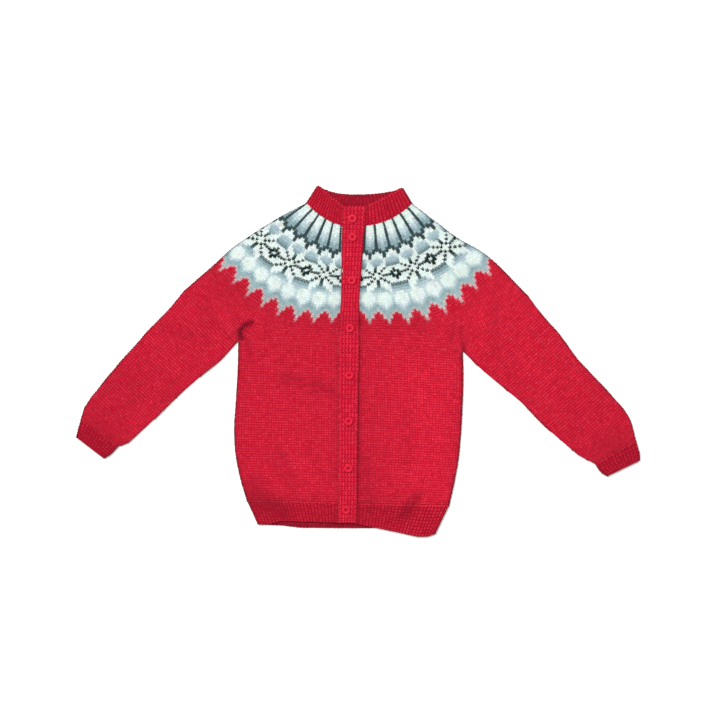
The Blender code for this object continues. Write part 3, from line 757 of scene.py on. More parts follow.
def yoke_side(rounds, share, edge):
    """One half of a round: its front line from edge to fold, and what its back line is made from."""
    edge_y, bend_x, bend_y, end_x, end_y, degrees, roundness = smooth_row(rounds, share)
    outward = facing(degrees)
    end = np.array((end_x, end_y)) - outward * FOLD_REACH
    line = rounded_line((edge(edge_y), edge_y), (bend_x, bend_y), end, roundness)
    return line, outward, (bend_x, bend_y), end, roundness


def yoke_round(rounds, share, back_middle, back_level):
    """A round of the yoke or the neckband, whose back's bends lie between the front's and its own middle."""
    left = yoke_side(rounds[0], share, left_front_edge)
    right = yoke_side(rounds[1], share, right_front_edge)
    halves = []
    for _, _, (bend_x, bend_y), end, roundness in (left, right):
        bend = (bend_x, bend_y * (1 - back_level) + back_middle[1] * back_level)
        halves.append(rounded_line(back_middle, bend, end, roundness))
    back = np.vstack((halves[0][::-1], halves[1][1:]))
    return open_round(left[0], left[1], back, right[1], right[0][::-1])


def yoke_back_middle(share):
    front_y = (smooth_row(YOKE_LEFT_ROUNDS, share)[0] + smooth_row(YOKE_RIGHT_ROUNDS, share)[0]) / 2
    return BACK_MIDDLE_X, front_y + YOKE_BACK_RISE * share**2


def neck_round(share):
    middle = (BACK_MIDDLE_X, float(np.interp(share, (0, 1), NECK_BACK_MIDDLE_Y)))
    return yoke_round((NECK_LEFT_ROUNDS, NECK_RIGHT_ROUNDS), share, middle, 1.0)


def sleeve_rounds(sections, count):
    """Rounds from the cuff's end of these sections up to the yoke's."""
    shares = np.linspace(0.0, 1.0, len(sections))
    rows = [(share, *section) for share, section in zip(shares, sections)]
    return [tube_round(smooth_row(rows, 1 - step / count)) for step in range(count + 1)]


class Cloth:
    """A surface of cloth through rounds of points, with even steps along each round."""

    def __init__(self, rounds, closed=False, steps=AROUND):
        self.points = np.array([evenly(line, steps) for line, _ in rounds])
        self.closed = closed
        self.lengths = []
        self.folds = []
        for line, folds in rounds:
            along = np.cumsum(np.linalg.norm(np.diff(line, axis=0), axis=1))
            self.lengths.append(along[-1])
            self.folds.append([along[index - 1] / along[-1] for index in folds])
        self.lengths, self.folds = np.array(self.lengths), np.array(self.folds)
        across = np.gradient(self.points, axis=1)
        if closed:
            across[:, 0] = across[:, -1] = self.points[:, 1] - self.points[:, -2]
        up = np.gradient(self.points, axis=0)
        normals = np.cross(across, up)
        normals /= np.linalg.norm(normals, axis=2, keepdims=True)
        self.turned = normals[:, steps // 12, 2].mean() < 0
        self.normals = -normals if self.turned else normals

    def at(self, row, share):
        """Places and normals on the cloth, at rows that may run a little past its ends."""
        rows, steps = self.points.shape[0] - 1, self.points.shape[1] - 1
        share = share % 1.0 if self.closed else np.clip(share, 0.0, 1.0)
        i = np.clip(np.floor(row).astype(int), 0, rows - 1)
        j = np.clip(np.floor(share * steps).astype(int), 0, steps - 1)
        t = (row - i)[..., None]
        s = (share * steps - j)[..., None]
        found = []
        for grid in (self.points, self.normals):
            low = grid[i, j] * (1 - s) + grid[i, j + 1] * s
            high = grid[i + 1, j] * (1 - s) + grid[i + 1, j + 1] * s
            found.append(low * (1 - t) + high * t)
        return found

    def row_folds(self, row):
        return (self.folds[row] + self.folds[row + 1]) / 2

    def marks(self, row):
        """Where this row of stitches starts, folds and ends, as shares of its round."""
        return (0.0, *self.row_folds(row), 1.0)

    def row_length(self, row):
        return (self.lengths[row] + self.lengths[row + 1]) / 2


def mesh_object(name, points, faces, colours, yarn_map, material, hidden=None):
    """A piece whose place is in its mesh, with its wools and their painted light and shade as a colour
    attribute, and its yarn's own map.

    Where the corners of hidden faces are marked, it also has a map seen from above, in whose other half
    those faces lie.
    """
    mesh = bpy.data.meshes.new(name)
    mesh.from_pydata(points.tolist(), [], faces)
    mesh.shade_smooth()
    wools = mesh.color_attributes.new("wool", "FLOAT_COLOR", "POINT")
    wools.data.foreach_set("color", np.column_stack((colours, np.ones(len(points)))).ravel())
    corners = np.empty(len(mesh.loops), int)
    mesh.loops.foreach_get("vertex_index", corners)
    layer = mesh.uv_layers.new(name="yarn")
    layer.uv.foreach_set("vector", yarn_map[corners].ravel())
    if hidden is not None:
        flat = points[corners, :2] - points[:, :2].min(axis=0)
        flat /= np.ptp(points[:, :2], axis=0) * (2.02, 1.01)
        flat[:, 0] += 0.5 * hidden
        mesh.uv_layers.new(name=BAKE_MAP).uv.foreach_set("vector", flat.ravel())
    mesh.materials.append(material)
    piece = bpy.data.objects.new(name, mesh)
    bpy.context.scene.collection.objects.link(piece)
    return piece


def leg_shape(sections):
    """A leg of yarn as shares: across, along, height and painted light and shade of each point, and its
    faces.

    The faces are listed by side, and the third side is the flat underneath.
    """
    points = [(0.0, 0.0, None, TIP_SHADE)]
    for along, width, height, light in sections:
        side = light * SIDE_SHADE
        points += [(-width, along, 0.0, side), (0.0, along, height, light), (width, along, 0.0, side)]
    points.append((0.0, 1.0, None, TIP_SHADE))
    tips, walls = [], []
    last = len(points) - 1
    for side in range(3):
        after = (side + 1) % 3
        tips += [(0, 1 + after, 1 + side), (last, last - 3 + side, last - 3 + after)]
        for section in range(len(sections) - 1):
            low, high = 1 + 3 * section, 4 + 3 * section
            walls.append((low + side, low + after, high + after, high + side))
    return points, np.array(tips), np.array(walls)


def lightness(tone, full):
    """How light a wool is, up to one where its tone reaches the full one."""
    return np.clip(tone / full, 0.0, 1.0)


def pale_hollows(shade, colours):
    """Light passes through pale wool, so that the painted shade in its hollows is less dark than in a deep
    wool's.
    """
    pale = lightness(colours.mean(axis=-1, keepdims=True), full=0.8)
    return shade + (1 - shade) * HOLLOW_LIGHT * pale


def knit(name, cloth, stitches, sections, wool, seed, run=LEG_RUN):
    """Knit stitches on a cloth, whose legs run this way across them.

    Each stitch has its row, its middle and width as shares of the round, its colour, how far it stands up
    and how much of its row's height it takes.
    """
    rows, middles, widths, colours, lifts, heights = stitches
    shape, tips, walls = leg_shape(sections)
    across = np.array([point[0] for point in shape])
    along = np.array([point[1] for point in shape])
    height = np.array([point[2] or 0.0 for point in shape])
    sunk = np.array([point[2] is None for point in shape])
    count, size = len(rows), len(shape)
    noise = np.random.default_rng(seed)

    def uneven(spread, *draws):
        return spread * noise.standard_normal((count, *draws)).clip(-2, 2)

    plump = 1 + uneven(UNEVEN_WIDTH, 1, 1)
    lift = lifts[:, None, None] * (1 + uneven(UNEVEN_LIFT, 2, 1))
    sway = uneven(UNEVEN_SWAY, 1, 1)
    slip = uneven(UNEVEN_SLIP, 1, 1)
    sides = np.array((-1.0, 1.0))[None, :, None]
    start, end = run
    reach = start[0] + (end[0] - start[0]) * along
    climb = start[1] + (end[1] - start[1]) * along
    shift = sides * reach + across * LEG_HALF_WIDTH * plump + sway
    share = middles[:, None, None] + shift * widths[:, None, None]
    row = rows[:, None, None] + heights[:, None, None] * (climb + slip) + 0.0 * sides
    places, normals = cloth.at(row, share)
    normals /= np.linalg.norm(normals, axis=3, keepdims=True)
    up = upper_share(normals[..., 2])
    crest = UNDER_LEG_HEIGHT + (LEG_HEIGHT - UNDER_LEG_HEIGHT) * up * up * (3 - 2 * up)
    raised = np.where(sunk, TIP_DEPTH, crest * height * lift)
    places = places + normals * raised[..., None]
    places[..., 2] = np.maximum(places[..., 2], 0.0)
    starts = np.arange(count * 2)[:, None, None] * size
    corners, hidden = [], []
    for faces in (tips, walls):
        order = faces[:, ::-1] if cloth.turned else faces
        corners += (starts + order[None]).reshape(-1, faces.shape[1]).tolist()
        underneath = np.arange(len(faces)) >= len(faces) * 2 // 3
        hidden.append(np.tile(np.repeat(underneath, faces.shape[1]), count * 2))
    shade = 1 + uneven(UNEVEN_SHADE, 1, 1)
    pale = lightness(colours.mean(axis=1), full=0.6)[:, None, None]
    tint = 1 + uneven(UNEVEN_TINT + UNEVEN_PALE_TINT * pale, 1, 3)
    # Painted light and shade of creases, broad dips and downturned edges, multiplied into each point's colour
    lit = light_kept(places[..., 0], places[..., 1], normals[..., 2])
    # Painted shade at the legs' sides and sunken ends, and painted light on their middles
    depth = pale_hollows(np.tile([point[3] for point in shape], 2)[None, :, None], colours[:, None, :])
    # Painted highlight: white added to the crests and taken from the hollows
    crest_highlight = PAINTED_CREST_HIGHLIGHT * lightness(colours.max(axis=1), full=0.3)[:, None, None]
    colour = colours[:, None, :] * shade * tint * depth + crest_highlight * (shade * depth - MIDDLE_SHADE)
    colour = (np.clip(colour, *TONE_LIMITS) * lit.reshape(count, -1, 1)).reshape(-1, 3)
    yarn_map = np.tile(np.column_stack((across * 0.5 + 0.5, along * 2.0)), (count * 2, 1))
    return mesh_object(name, places.reshape(-1, 3), corners, colour, yarn_map, wool, np.concatenate(hidden))


def stitches_of_row(row, columns, shares, colour_of, width=1.0, lift=1.0, inset=0.3):
    """One row's stitches. The columns at the round's marks are given, and stitches lie evenly between them.

    A stitch whose middle comes nearer to either end than the inset is left out.
    """
    numbers = np.arange(math.floor(columns[0]), math.ceil(columns[-1]))
    middles = numbers + 0.5
    inside = (middles > columns[0] + inset) & (middles < columns[-1] - inset)
    numbers, middles = numbers[inside], middles[inside]
    places = np.interp(middles, columns, shares)
    pitch = np.interp(middles + 0.25, columns, shares) - np.interp(middles - 0.25, columns, shares)
    every = np.ones(len(numbers))
    return every * row, places, pitch * 2 * width, colour_of(row, numbers), every * lift, every


def gathered(rows):
    return [np.concatenate(values) for values in zip(*rows)]


def chosen(stitches, mask):
    return [values[mask] for values in stitches]


def knit_around(name, cloth, stitches, folds, wool, seed):
    """The stitches of the left front, of the right front and of the back, each a piece of its own."""
    left, right = stitches[1] < folds[..., 0], stitches[1] > folds[..., 1]
    return [
        knit(f"{name}_stitches_left", cloth, chosen(stitches, left), FRONT_SECTIONS, wool, seed),
        knit(f"{name}_stitches_right", cloth, chosen(stitches, right), FRONT_SECTIONS, wool, seed + 1),
        knit(f"{name}_stitches_back", cloth, chosen(stitches, ~left & ~right), BACK_SECTIONS, wool, seed + 2),
    ]


def bloomed(stitches):
    """Light wools bloom over the dark ones beside them."""
    rows, middles, widths, colours, lifts, heights = stitches
    dark = colours.max(axis=1) < DARK_WOOL
    bloom = 1 + BLOOM * lightness(colours.mean(axis=1), full=0.5)
    widths = widths * np.where(dark, DARK_WIDTH, bloom)
    return rows, middles, widths, colours, lifts * (1 - DARK_SINK * dark), heights


def with_short_rows(cloth, stitches):
    """Short rows fill the yoke's red ground where its rows fan out over the sleeves."""
    rows, middles = stitches[:2]
    spacing = np.linalg.norm(cloth.at(rows + 1, middles)[0] - cloth.at(rows, middles)[0], axis=1)
    tall = (rows < ZIGZAG_FIRST_ROW) & (spacing > TALLEST_ROW)
    short = chosen(stitches, tall)
    short[0] = short[0] + 0.5
    short[5] = short[5] * 0.5
    lower = [*stitches[:5], np.where(tall, 0.5, 1.0)]
    return gathered((lower, short))


def red(row, numbers):
    """Plain red for these stitches, whatever their row."""
    return np.tile(linear(WOOLS["R"]), (len(numbers), 1))


def neck_red_in_painted_shade(row, numbers):
    """The red of the neckband's inner side, darkened as painted shade, for it lies in shade."""
    return red(row, numbers) * INNER_NECK_LIGHT


def hem_red_in_painted_shade(row, numbers):
    """The red of the hem's inner side, darkened further as painted shade, for it lies in deeper shade."""
    return red(row, numbers) * INNER_HEM_LIGHT


def chart_letters(row):
    """The repeat that is knitted in this row of the yoke."""
    if row < ZIGZAG_FIRST_ROW:
        return "R"
    if row < ZIGZAG_FIRST_ROW + len(ZIGZAG):
        return ZIGZAG[row - ZIGZAG_FIRST_ROW]
    if row >= PETALS_FIRST_ROW:
        return PETALS[row - PETALS_FIRST_ROW]
    up = row - STAR_MIDDLE_ROW
    reach = len(STAR_HALF) - 1
    if up > reach:
        half = ABOVE_STARS
    else:
        half = STAR_HALF[abs(up)].replace(".", STAR_GROUND[up + reach])
    return "".join(half[abs(6 - column)] for column in range(12))


def yoke_colours(row, numbers):
    letters = chart_letters(min(row, YOKE_ROWS - 1))
    repeat = np.array([linear(WOOLS[letter]) for letter in letters])
    return repeat[numbers % len(letters)]


def yoke_columns(row):
    """Chart columns at the left front's edge, at both folds and at the right front's edge."""
    counts = np.asarray(YOKE_COUNTS)
    left, left_start, right, right_start, once_round = (
        np.interp(row, counts[:, 0], counts[:, index]) for index in range(1, 6)
    )
    return (-left_start, left - left_start, once_round - (right - right_start), once_round + right_start)


def shell(name, cloth, row_step, column_step, wool, colours=None, shade=CLOTH_SHADE):
    """A thin wall of cloth under the stitches, darkened by its shade as painted shade between them."""
    rows = list(range(0, len(cloth.points) - 1, row_step)) + [len(cloth.points) - 1]
    steps = cloth.points.shape[1] - 1
    columns = list(range(0, steps, column_step))
    if not cloth.closed:
        columns.append(steps)
    grid = np.ix_(rows, columns)
    outer = cloth.points[grid]
    inner = outer - cloth.normals[grid] * SHELL
    count, across = len(rows), len(columns)
    inside = count * across
    around = [(column, (column + 1) % across) for column in range(across if cloth.closed else across - 1)]
    faces = []
    for row in range(count - 1):
        for here, after in around:
            a, b = row * across + here, row * across + after
            faces.append((a, b, b + across, a + across))
            faces.append((inside + b, inside + a, inside + a + across, inside + b + across))
    for row, order in ((0, -1), (count - 1, 1)):
        for here, after in around:
            a, b = row * across + here, row * across + after
            faces.append((a, b, inside + b, inside + a)[::order])
    if not cloth.closed:
        for column, order in ((0, 1), (across - 1, -1)):
            for row in range(count - 1):
                a = row * across + column
                faces.append((a, a + across, inside + a + across, inside + a)[::order])
    if cloth.turned:
        faces = [face[::-1] for face in faces]
    if colours is None:
        colours = np.tile(linear(WOOLS["R"]), (inside, 1))
    else:
        colours = colours(rows, np.array(columns) / steps)
    # Painted shade: the cloth between the stitches is darkened
    colours = np.tile(colours * pale_hollows(shade, colours), (2, 1))
    points = np.vstack((outer.reshape(-1, 3), inner.reshape(-1, 3)))
    points[:, 2] = np.maximum(points[:, 2], 0.0)
    yarn_map = np.array([(column / 4, row) for row in rows for column in columns], float)
    return outwards(mesh_object(name, points, faces, colours, np.tile(yarn_map, (2, 1)), wool))


def outwards(piece):
    """Turns a closed piece's faces outwards."""
    shape = bmesh.new()
    shape.from_mesh(piece.data)
    bmesh.ops.recalc_face_normals(shape, faces=shape.faces)
    shape.to_mesh(piece.data)
    shape.free()
    return piece


def chain(name, path, width, drop, wool, seed, colour_of, loop=LOOP):
    """A chain of loops along a path, one knit stitch to each loop, rounded down at its sides."""
    length = np.linalg.norm(np.diff(path, axis=0), axis=1).sum()
    count = max(2, round(length / loop))
    path = evenly(path, count)
    along = np.gradient(path[:, :2], axis=0)
    along /= np.linalg.norm(along, axis=1, keepdims=True)
    reach = np.linspace(-0.5, 0.5, 9)
    lines = []
    for (x, y, z), (along_x, along_y) in zip(path, along):
        across = reach * width
        places = (x + across * along_y, y - across * along_x, z - drop * (2 * reach) ** 2)
        lines.append((np.column_stack(places), ()))
    cloth = Cloth(lines, steps=24)
    ends = (0.0, 1.0)
    rows = [stitches_of_row(row, ends, ends, colour_of, *CHAIN_STITCH) for row in range(count)]
    return knit(name, cloth, gathered(rows), FRONT_SECTIONS, wool, seed)


def add_node(tree, kind, inputs=(), **settings):
    """A shader node with its settings, its inputs set to values or linked from other nodes."""
    node = tree.nodes.new(kind)
    for setting, value in settings.items():
        setattr(node, setting, value)
    for socket, value in dict(inputs).items():
        if isinstance(value, bpy.types.NodeSocket):
            tree.links.new(value, node.inputs[socket])
        else:
            node.inputs[socket].default_value = value
    return node


def fibres_group():
    """Wool's colour and nap: mottled dye, and fine fibres twisted along the yarn."""
    tree = bpy.data.node_groups.new("wool fibres", "ShaderNodeTree")
    for socket, way, kind in (
        ("Wool", "INPUT", "NodeSocketColor"),
        ("Nap", "INPUT", "NodeSocketFloat"),
        ("Mottle", "INPUT", "NodeSocketFloat"),
        ("Color", "OUTPUT", "NodeSocketColor"),
        ("Normal", "OUTPUT", "NodeSocketVector"),
    ):
        tree.interface.new_socket(socket, in_out=way, socket_type=kind)
    given = add_node(tree, "NodeGroupInput").outputs
    place = add_node(tree, "ShaderNodeTexCoord").outputs["Object"]
    strand = add_node(tree, "ShaderNodeUVMap", uv_map="yarn").outputs["UV"]
    dye = add_node(tree, "ShaderNodeTexNoise", {"Vector": place, "Scale": 45.0, "Detail": 3.0})
    fibre = add_node(tree, "ShaderNodeTexNoise", {"Vector": place, "Scale": 1500.0, "Detail": 2.0})
    twist = add_node(
        tree,
        "ShaderNodeTexWave",
        {"Vector": strand, "Scale": 1.1, "Distortion": 1.5},
        wave_type="BANDS",
        bands_direction="DIAGONAL",
    )
    relief = add_node(
        tree,
        "ShaderNodeMath",
        {0: twist.outputs["Fac"], 1: 0.6, 2: fibre.outputs["Fac"]},
        operation="MULTIPLY_ADD",
    )
    mottle = add_node(
        tree,
        "ShaderNodeMapRange",
        {"Value": dye.outputs["Fac"], "From Min": 0.35, "From Max": 0.65, "To Min": 0.98, "To Max": 1.02},
    )
    speck = add_node(
        tree,
        "ShaderNodeMapRange",
        {"Value": relief.outputs["Value"], "From Min": 0.5, "From Max": 1.3, "To Min": 0.86, "To Max": 1.12},
    )
    product = add_node(
        tree,
        "ShaderNodeMath",
        {0: mottle.outputs["Result"], 1: speck.outputs["Result"]},
        operation="MULTIPLY",
    )
    amount = add_node(
        tree,
        "ShaderNodeMix",
        {"Factor": given["Mottle"], "A": 1.0, "B": product.outputs["Value"]},
        data_type="FLOAT",
    )
    colour = add_node(
        tree,
        "ShaderNodeVectorMath",
        {"Vector": given["Wool"], "Scale": amount.outputs["Result"]},
        operation="SCALE",
    )
    bump = add_node(
        tree,
        "ShaderNodeBump",
        {"Distance": 0.0004, "Strength": given["Nap"], "Height": relief.outputs["Value"]},
    )
    add_node(tree, "NodeGroupOutput", {"Color": colour.outputs["Vector"], "Normal": bump.outputs["Normal"]})
    return tree


def new_material(name, values):
    """A material, its node tree and its shader's inputs, with these values on them."""
    material = bpy.data.materials.new(name)
    material.use_nodes = True
    inputs = material.node_tree.nodes["Principled BSDF"].inputs
    for socket, value in values.items():
        inputs[socket].default_value = value
    return material, material.node_tree, inputs


def two_tones(tree, mask, dark, light):
    """A colour between two tones, by a mask."""
    ramp = add_node(tree, "ShaderNodeValToRGB", {"Fac": mask})
    for stop, tone in zip(ramp.color_ramp.elements, (dark, light)):
        stop.color = (*linear(tone), 1.0)
    return ramp.outputs["Color"]


def wool_material(name, group, mottle):
    """Matt wool with a soft nap. Its colour, with its painted light and shade, comes from each stitch."""
    matt = {
        "Roughness": 1.0,
        "Specular IOR Level": 0.06,
        "Sheen Weight": 0.06,
        "Sheen Roughness": 0.5,
        "Sheen Tint": (1.0, 0.55, 0.6, 1.0),
    }
    material, tree, shader = new_material(name, matt)
    # The stitches' wools with their painted light and shade
    wool = add_node(tree, "ShaderNodeAttribute", attribute_name="wool").outputs["Color"]
    nap = {"Wool": wool, "Nap": 0.5, "Mottle": mottle}
    fibres = add_node(tree, "ShaderNodeGroup", nap, node_tree=group)
    tree.links.new(fibres.outputs["Color"], shader["Base Color"])
    tree.links.new(fibres.outputs["Normal"], shader["Normal"])
    return material


def button_material():
    """Red moulded plastic, softly glossy, with faint flow marks."""
    material, tree, shader = new_material("red button plastic", {"Specular IOR Level": 0.15})
    place = add_node(tree, "ShaderNodeTexCoord").outputs["Object"]
    noise = add_node(tree, "ShaderNodeTexNoise", {"Vector": place, "Scale": 220.0, "Detail": 2.0})
    flow = noise.outputs["Fac"]
    polish = add_node(tree, "ShaderNodeMapRange", {"Value": flow, "To Min": 0.38, "To Max": 0.52})
    tree.links.new(two_tones(tree, flow, (192, 12, 44), (208, 20, 54)), shader["Base Color"])
    tree.links.new(polish.outputs["Result"], shader["Roughness"])
    return material


def thread_material():
    """Dark red sewing thread, twisted."""
    material, tree, shader = new_material("sewing thread", {"Roughness": 0.9, "Specular IOR Level": 0.05})
    place = add_node(tree, "ShaderNodeTexCoord").outputs["Object"]
    ply = add_node(tree, "ShaderNodeTexWave", {"Vector": place, "Scale": 900.0}, bands_direction="DIAGONAL")
    tree.links.new(two_tones(tree, ply.outputs["Fac"], (112, 2, 20), (148, 6, 30)), shader["Base Color"])
    return material


def finish(piece):
    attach(piece, "root")


def declare(piece, node, knitted):
    """The shell of a piece of cloth stands for its solid, and its stitches lie on it."""
    for cloth in (piece, *knitted):
        finish(cloth)
    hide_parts(node)


def make_body(wool):
    """The body from its underarms down to the hem rib."""
    cloth = Cloth([body_round(1 - row / BODY_ROWS) for row in range(BODY_ROWS + 1)])
    rows = []
    for row in range(BODY_ROWS + 1):
        marks = cloth.marks(min(row, BODY_ROWS - 1))
        rows.append(stitches_of_row(row - SEAM_REACH, BODY_COLUMNS, marks, red))
    knitted = knit_around("body", cloth, gathered(rows), cloth.folds.mean(axis=0), wool, 11)
    declare(shell("body_cloth", cloth, 2, 4, wool), "body", knitted)


def make_yoke(wool):
    """The round yoke in its chart's wools, over a shell that is dyed the same."""
    sides = (YOKE_LEFT_ROUNDS, YOKE_RIGHT_ROUNDS)
    rounds = []
    for row in range(YOKE_ROWS + 1):
        share = row / YOKE_ROWS
        rounds.append(yoke_round(sides, share, yoke_back_middle(share), share))
    cloth = Cloth(rounds, steps=2 * AROUND)
    rows = []
    for row in range(YOKE_ROWS):
        rows.append(stitches_of_row(row, yoke_columns(row), cloth.marks(row), yoke_colours))
    stitches = with_short_rows(cloth, bloomed(gathered(rows)))
    folds = np.array([cloth.row_folds(int(row)) for row in stitches[0]])
    knitted = knit_around("yoke", cloth, stitches, folds, wool, 21)

    def dyed(rows, shares):
        found = []
        for row in rows:
            charted = min(row, YOKE_ROWS - 1)
            columns = np.interp(shares, cloth.marks(charted), yoke_columns(charted))
            found.append(yoke_colours(charted, np.floor(columns).astype(int)))
        return np.vstack(found)

    declare(shell("yoke_cloth", cloth, 1, 4, wool, dyed), "yoke", knitted)


def ribbed(name, cloth, count, span, ribs, wool, seed):
    """Columns of knit stitches that stand up as ribs, with the purl stitches sunk between them."""
    rows = []
    for row, place in enumerate(np.linspace(*span, count)):
        rows.append(stitches_of_row(place, ribs, cloth.marks(row), red, *RIB_STITCH))
    return knit(name, cloth, gathered(rows), FRONT_SECTIONS, wool, seed)


def inner_ribs(name, cloth, count, ribs, colour_of, wool, seed):
    """The ribs of the back's inner side, in these first rows of the cloth."""
    inner = copy.copy(cloth)
    inner.points = cloth.points - cloth.normals * SHELL
    inner.normals = -cloth.normals
    inner.turned = not cloth.turned
    rows = []
    for row in range(count):
        rows.append(stitches_of_row(row, ribs, cloth.marks(row), colour_of, *INNER_RIB_STITCH))
    stitches = gathered(rows)
    folds = cloth.folds.mean(axis=0)
    back = (stitches[1] > folds[0] + INNER_MARGIN) & (stitches[1] < folds[1] - INNER_MARGIN)
    return knit(name, inner, chosen(stitches, back), FRONT_SECTIONS, wool, seed)


def make_hem(wool):
    """The hem rib. The back's inner side shows below the front."""
    cloth = Cloth([hem_round(row / HEM_ROWS) for row in range(HEM_ROWS + 1)])
    knitted = [
        ribbed("hem_ribs", cloth, HEM_ROWS, HEM_RIB_SPAN, HEM_RIBS, wool, 31),
        inner_ribs("hem_inner_ribs", cloth, HEM_INNER_ROWS, HEM_RIBS, hem_red_in_painted_shade, wool, 32),
    ]
    hem = shell("hem_cloth", cloth, 1, 4, wool, shade=RIB_GROUND_SHADE)
    declare(hem, "hem_rib", knitted)


def make_neckband(wool):
    """The neckband, with its inner side at the back and the loops of its rims."""
    cloth = Cloth([neck_round(row / NECK_ROWS) for row in range(NECK_ROWS + 1)])
    knitted = [
        ribbed("neckband_ribs", cloth, NECK_ROWS, NECK_RIB_SPAN, NECK_RIBS, wool, 41),
        inner_ribs("neckband_inner_ribs", cloth, NECK_ROWS, NECK_RIBS, neck_red_in_painted_shade, wool, 42),
        *neck_rims(wool),
    ]
    neckband = shell("neckband_cloth", cloth, 1, 3, wool, shade=RIB_GROUND_SHADE)
    declare(neckband, "neckband", knitted)


def neck_rims(wool):
    """Bound-off loops along the neckband's front rims and its back one."""
    pieces = []
    for side, rounds, edge in (
        ("left", NECK_LEFT_ROUNDS, left_front_edge),
        ("right", NECK_RIGHT_ROUNDS, right_front_edge),
    ):
        line = yoke_side(rounds, 1.0, edge)[0]
        path = np.column_stack((line, front_top(line[:, 0], line[:, 1]) - RIM_SINK))
        path[:, 1] -= RIM_INSET
        pieces.append(chain(f"neckband_rim_{side}", path, *RIM_CHAIN, wool, 43, red))
    line = neck_round(1.0)[0]
    back = line[(line[:, 2] < 2 * UNDER_LIFT) & (np.abs(line[:, 0]) < BACK_RIM_REACH)]
    back = back[np.argsort(back[:, 0])] - (0.0, RIM_INSET, 0.0)
    back[:, 2] = UNDER_LIFT + SHELL + BACK_RIM_LIFT
    pieces.append(chain("neckband_rim_back", back, *BACK_RIM_CHAIN, wool, 44, neck_red_in_painted_shade))
    return pieces


def make_sleeve(side, sections, wool, seed):
    """A sleeve from its cuff's end up to the yoke."""
    cloth = Cloth(sleeve_rounds(sections, SLEEVE_ROWS), closed=True)
    rows = []
    for row in range(SLEEVE_ROWS + 1):
        knitted = min(row, SLEEVE_ROWS - 1)
        marks, length = cloth.marks(knitted), cloth.row_length(knitted)
        half = length * marks[1] / SLEEVE_STITCH / 2
        columns = (-half, half, length / SLEEVE_STITCH - half)
        rows.append(stitches_of_row(row - SEAM_REACH, columns, marks, red, inset=0.4))
    stitches = gathered(rows)
    folds = np.array([cloth.row_folds(max(int(row), 0))[0] for row in stitches[0]])
    front = stitches[1] < folds
    name = f"sleeve_{side}"
    pieces = [
        knit(f"{name}_stitches", cloth, chosen(stitches, front), FRONT_SECTIONS, wool, seed),
        knit(f"{name}_stitches_back", cloth, chosen(stitches, ~front), BACK_SECTIONS, wool, seed + 1),
    ]
    declare(shell(f"{name}_cloth", cloth, 2, 4, wool), name, pieces)


def make_cuff(side, sections, wool, seed):
    """A sleeve's ribbed end."""
    cloth = Cloth(sleeve_rounds(sections, CUFF_ROWS), closed=True, steps=AROUND // 2)
    rows = []
    for row in range(CUFF_ROWS):
        marks = cloth.marks(row)
        count = round(cloth.lengths[-1] * marks[1] / CUFF_RIB)
        rows.append(stitches_of_row(row, (0.0, count, 2.0 * count), marks, red, *CUFF_RIB_STITCH, 0.0))
    name = f"cuff_{side}"
    ribs = knit(f"{name}_ribs", cloth, gathered(rows), FRONT_SECTIONS, wool, seed)
    cuff = shell(f"{name}_cloth", cloth, 1, 4, wool, shade=RIB_GROUND_SHADE)
    declare(cuff, name, [ribs])


def band_line(share, top, bottom, z, left_inset=0.0, right_inset=0.0):
    """A line down a band, this share of the way from its left edge to its right one."""
    y = np.linspace(top, bottom, 60)
    left = band_edge(y, 1) + left_inset
    right = band_edge(y, 2) - right_inset
    return np.column_stack((left * (1 - share) + right * share, y, np.full(60, z)))


def band_shell(name, lines, floor_z, wool):
    """A thin bar of cloth with eased edges, through lines down its upper side, in red darkened as painted
    shade.
    """
    top = np.array(lines)
    low = top.copy()
    low[..., 2] = floor_z
    loop = np.concatenate((top, low[::-1]))
    count, length = loop.shape[:2]
    points = loop.reshape(-1, 3)
    faces = []
    for row in range(count):
        after = (row + 1) % count
        for column in range(length - 1):
            a, b = row * length + column, after * length + column
            faces.append((a, b, b + 1, a + 1))
    ends = [row * length for row in range(count)]
    faces.append(ends)
    faces.append([start + length - 1 for start in ends][::-1])
    # Painted shade: the band's cloth between its ribs is darkened
    colours = np.tile(linear(WOOLS["R"]), (len(points), 1)) * BAND_SHADE
    return outwards(mesh_object(name, points, faces, colours, points[:, :2] / SLEEVE_STITCH, wool))


def make_under_band(wool):
    """The button band, which the other hides but for its edge."""
    top_y, end_y = BAND_TOP_Y - UNDER_BAND_INSET, BAND_END_Y + UNDER_BAND_INSET
    top_z, lap = FRONT_TOP - UNDER_BAND_SINK, BAND_LAP + BAND_SEAM
    lines = []
    for share in np.linspace(0.0, 1.0, BAND_ROWS + 1):
        lines.append(band_line(share, top_y, end_y, top_z, UNDER_BAND_INSET, lap))
    band = band_shell("button_band_cloth", lines, FRONT_TOP - FRONT_WALL, wool)
    declare(band, "button_band", [])


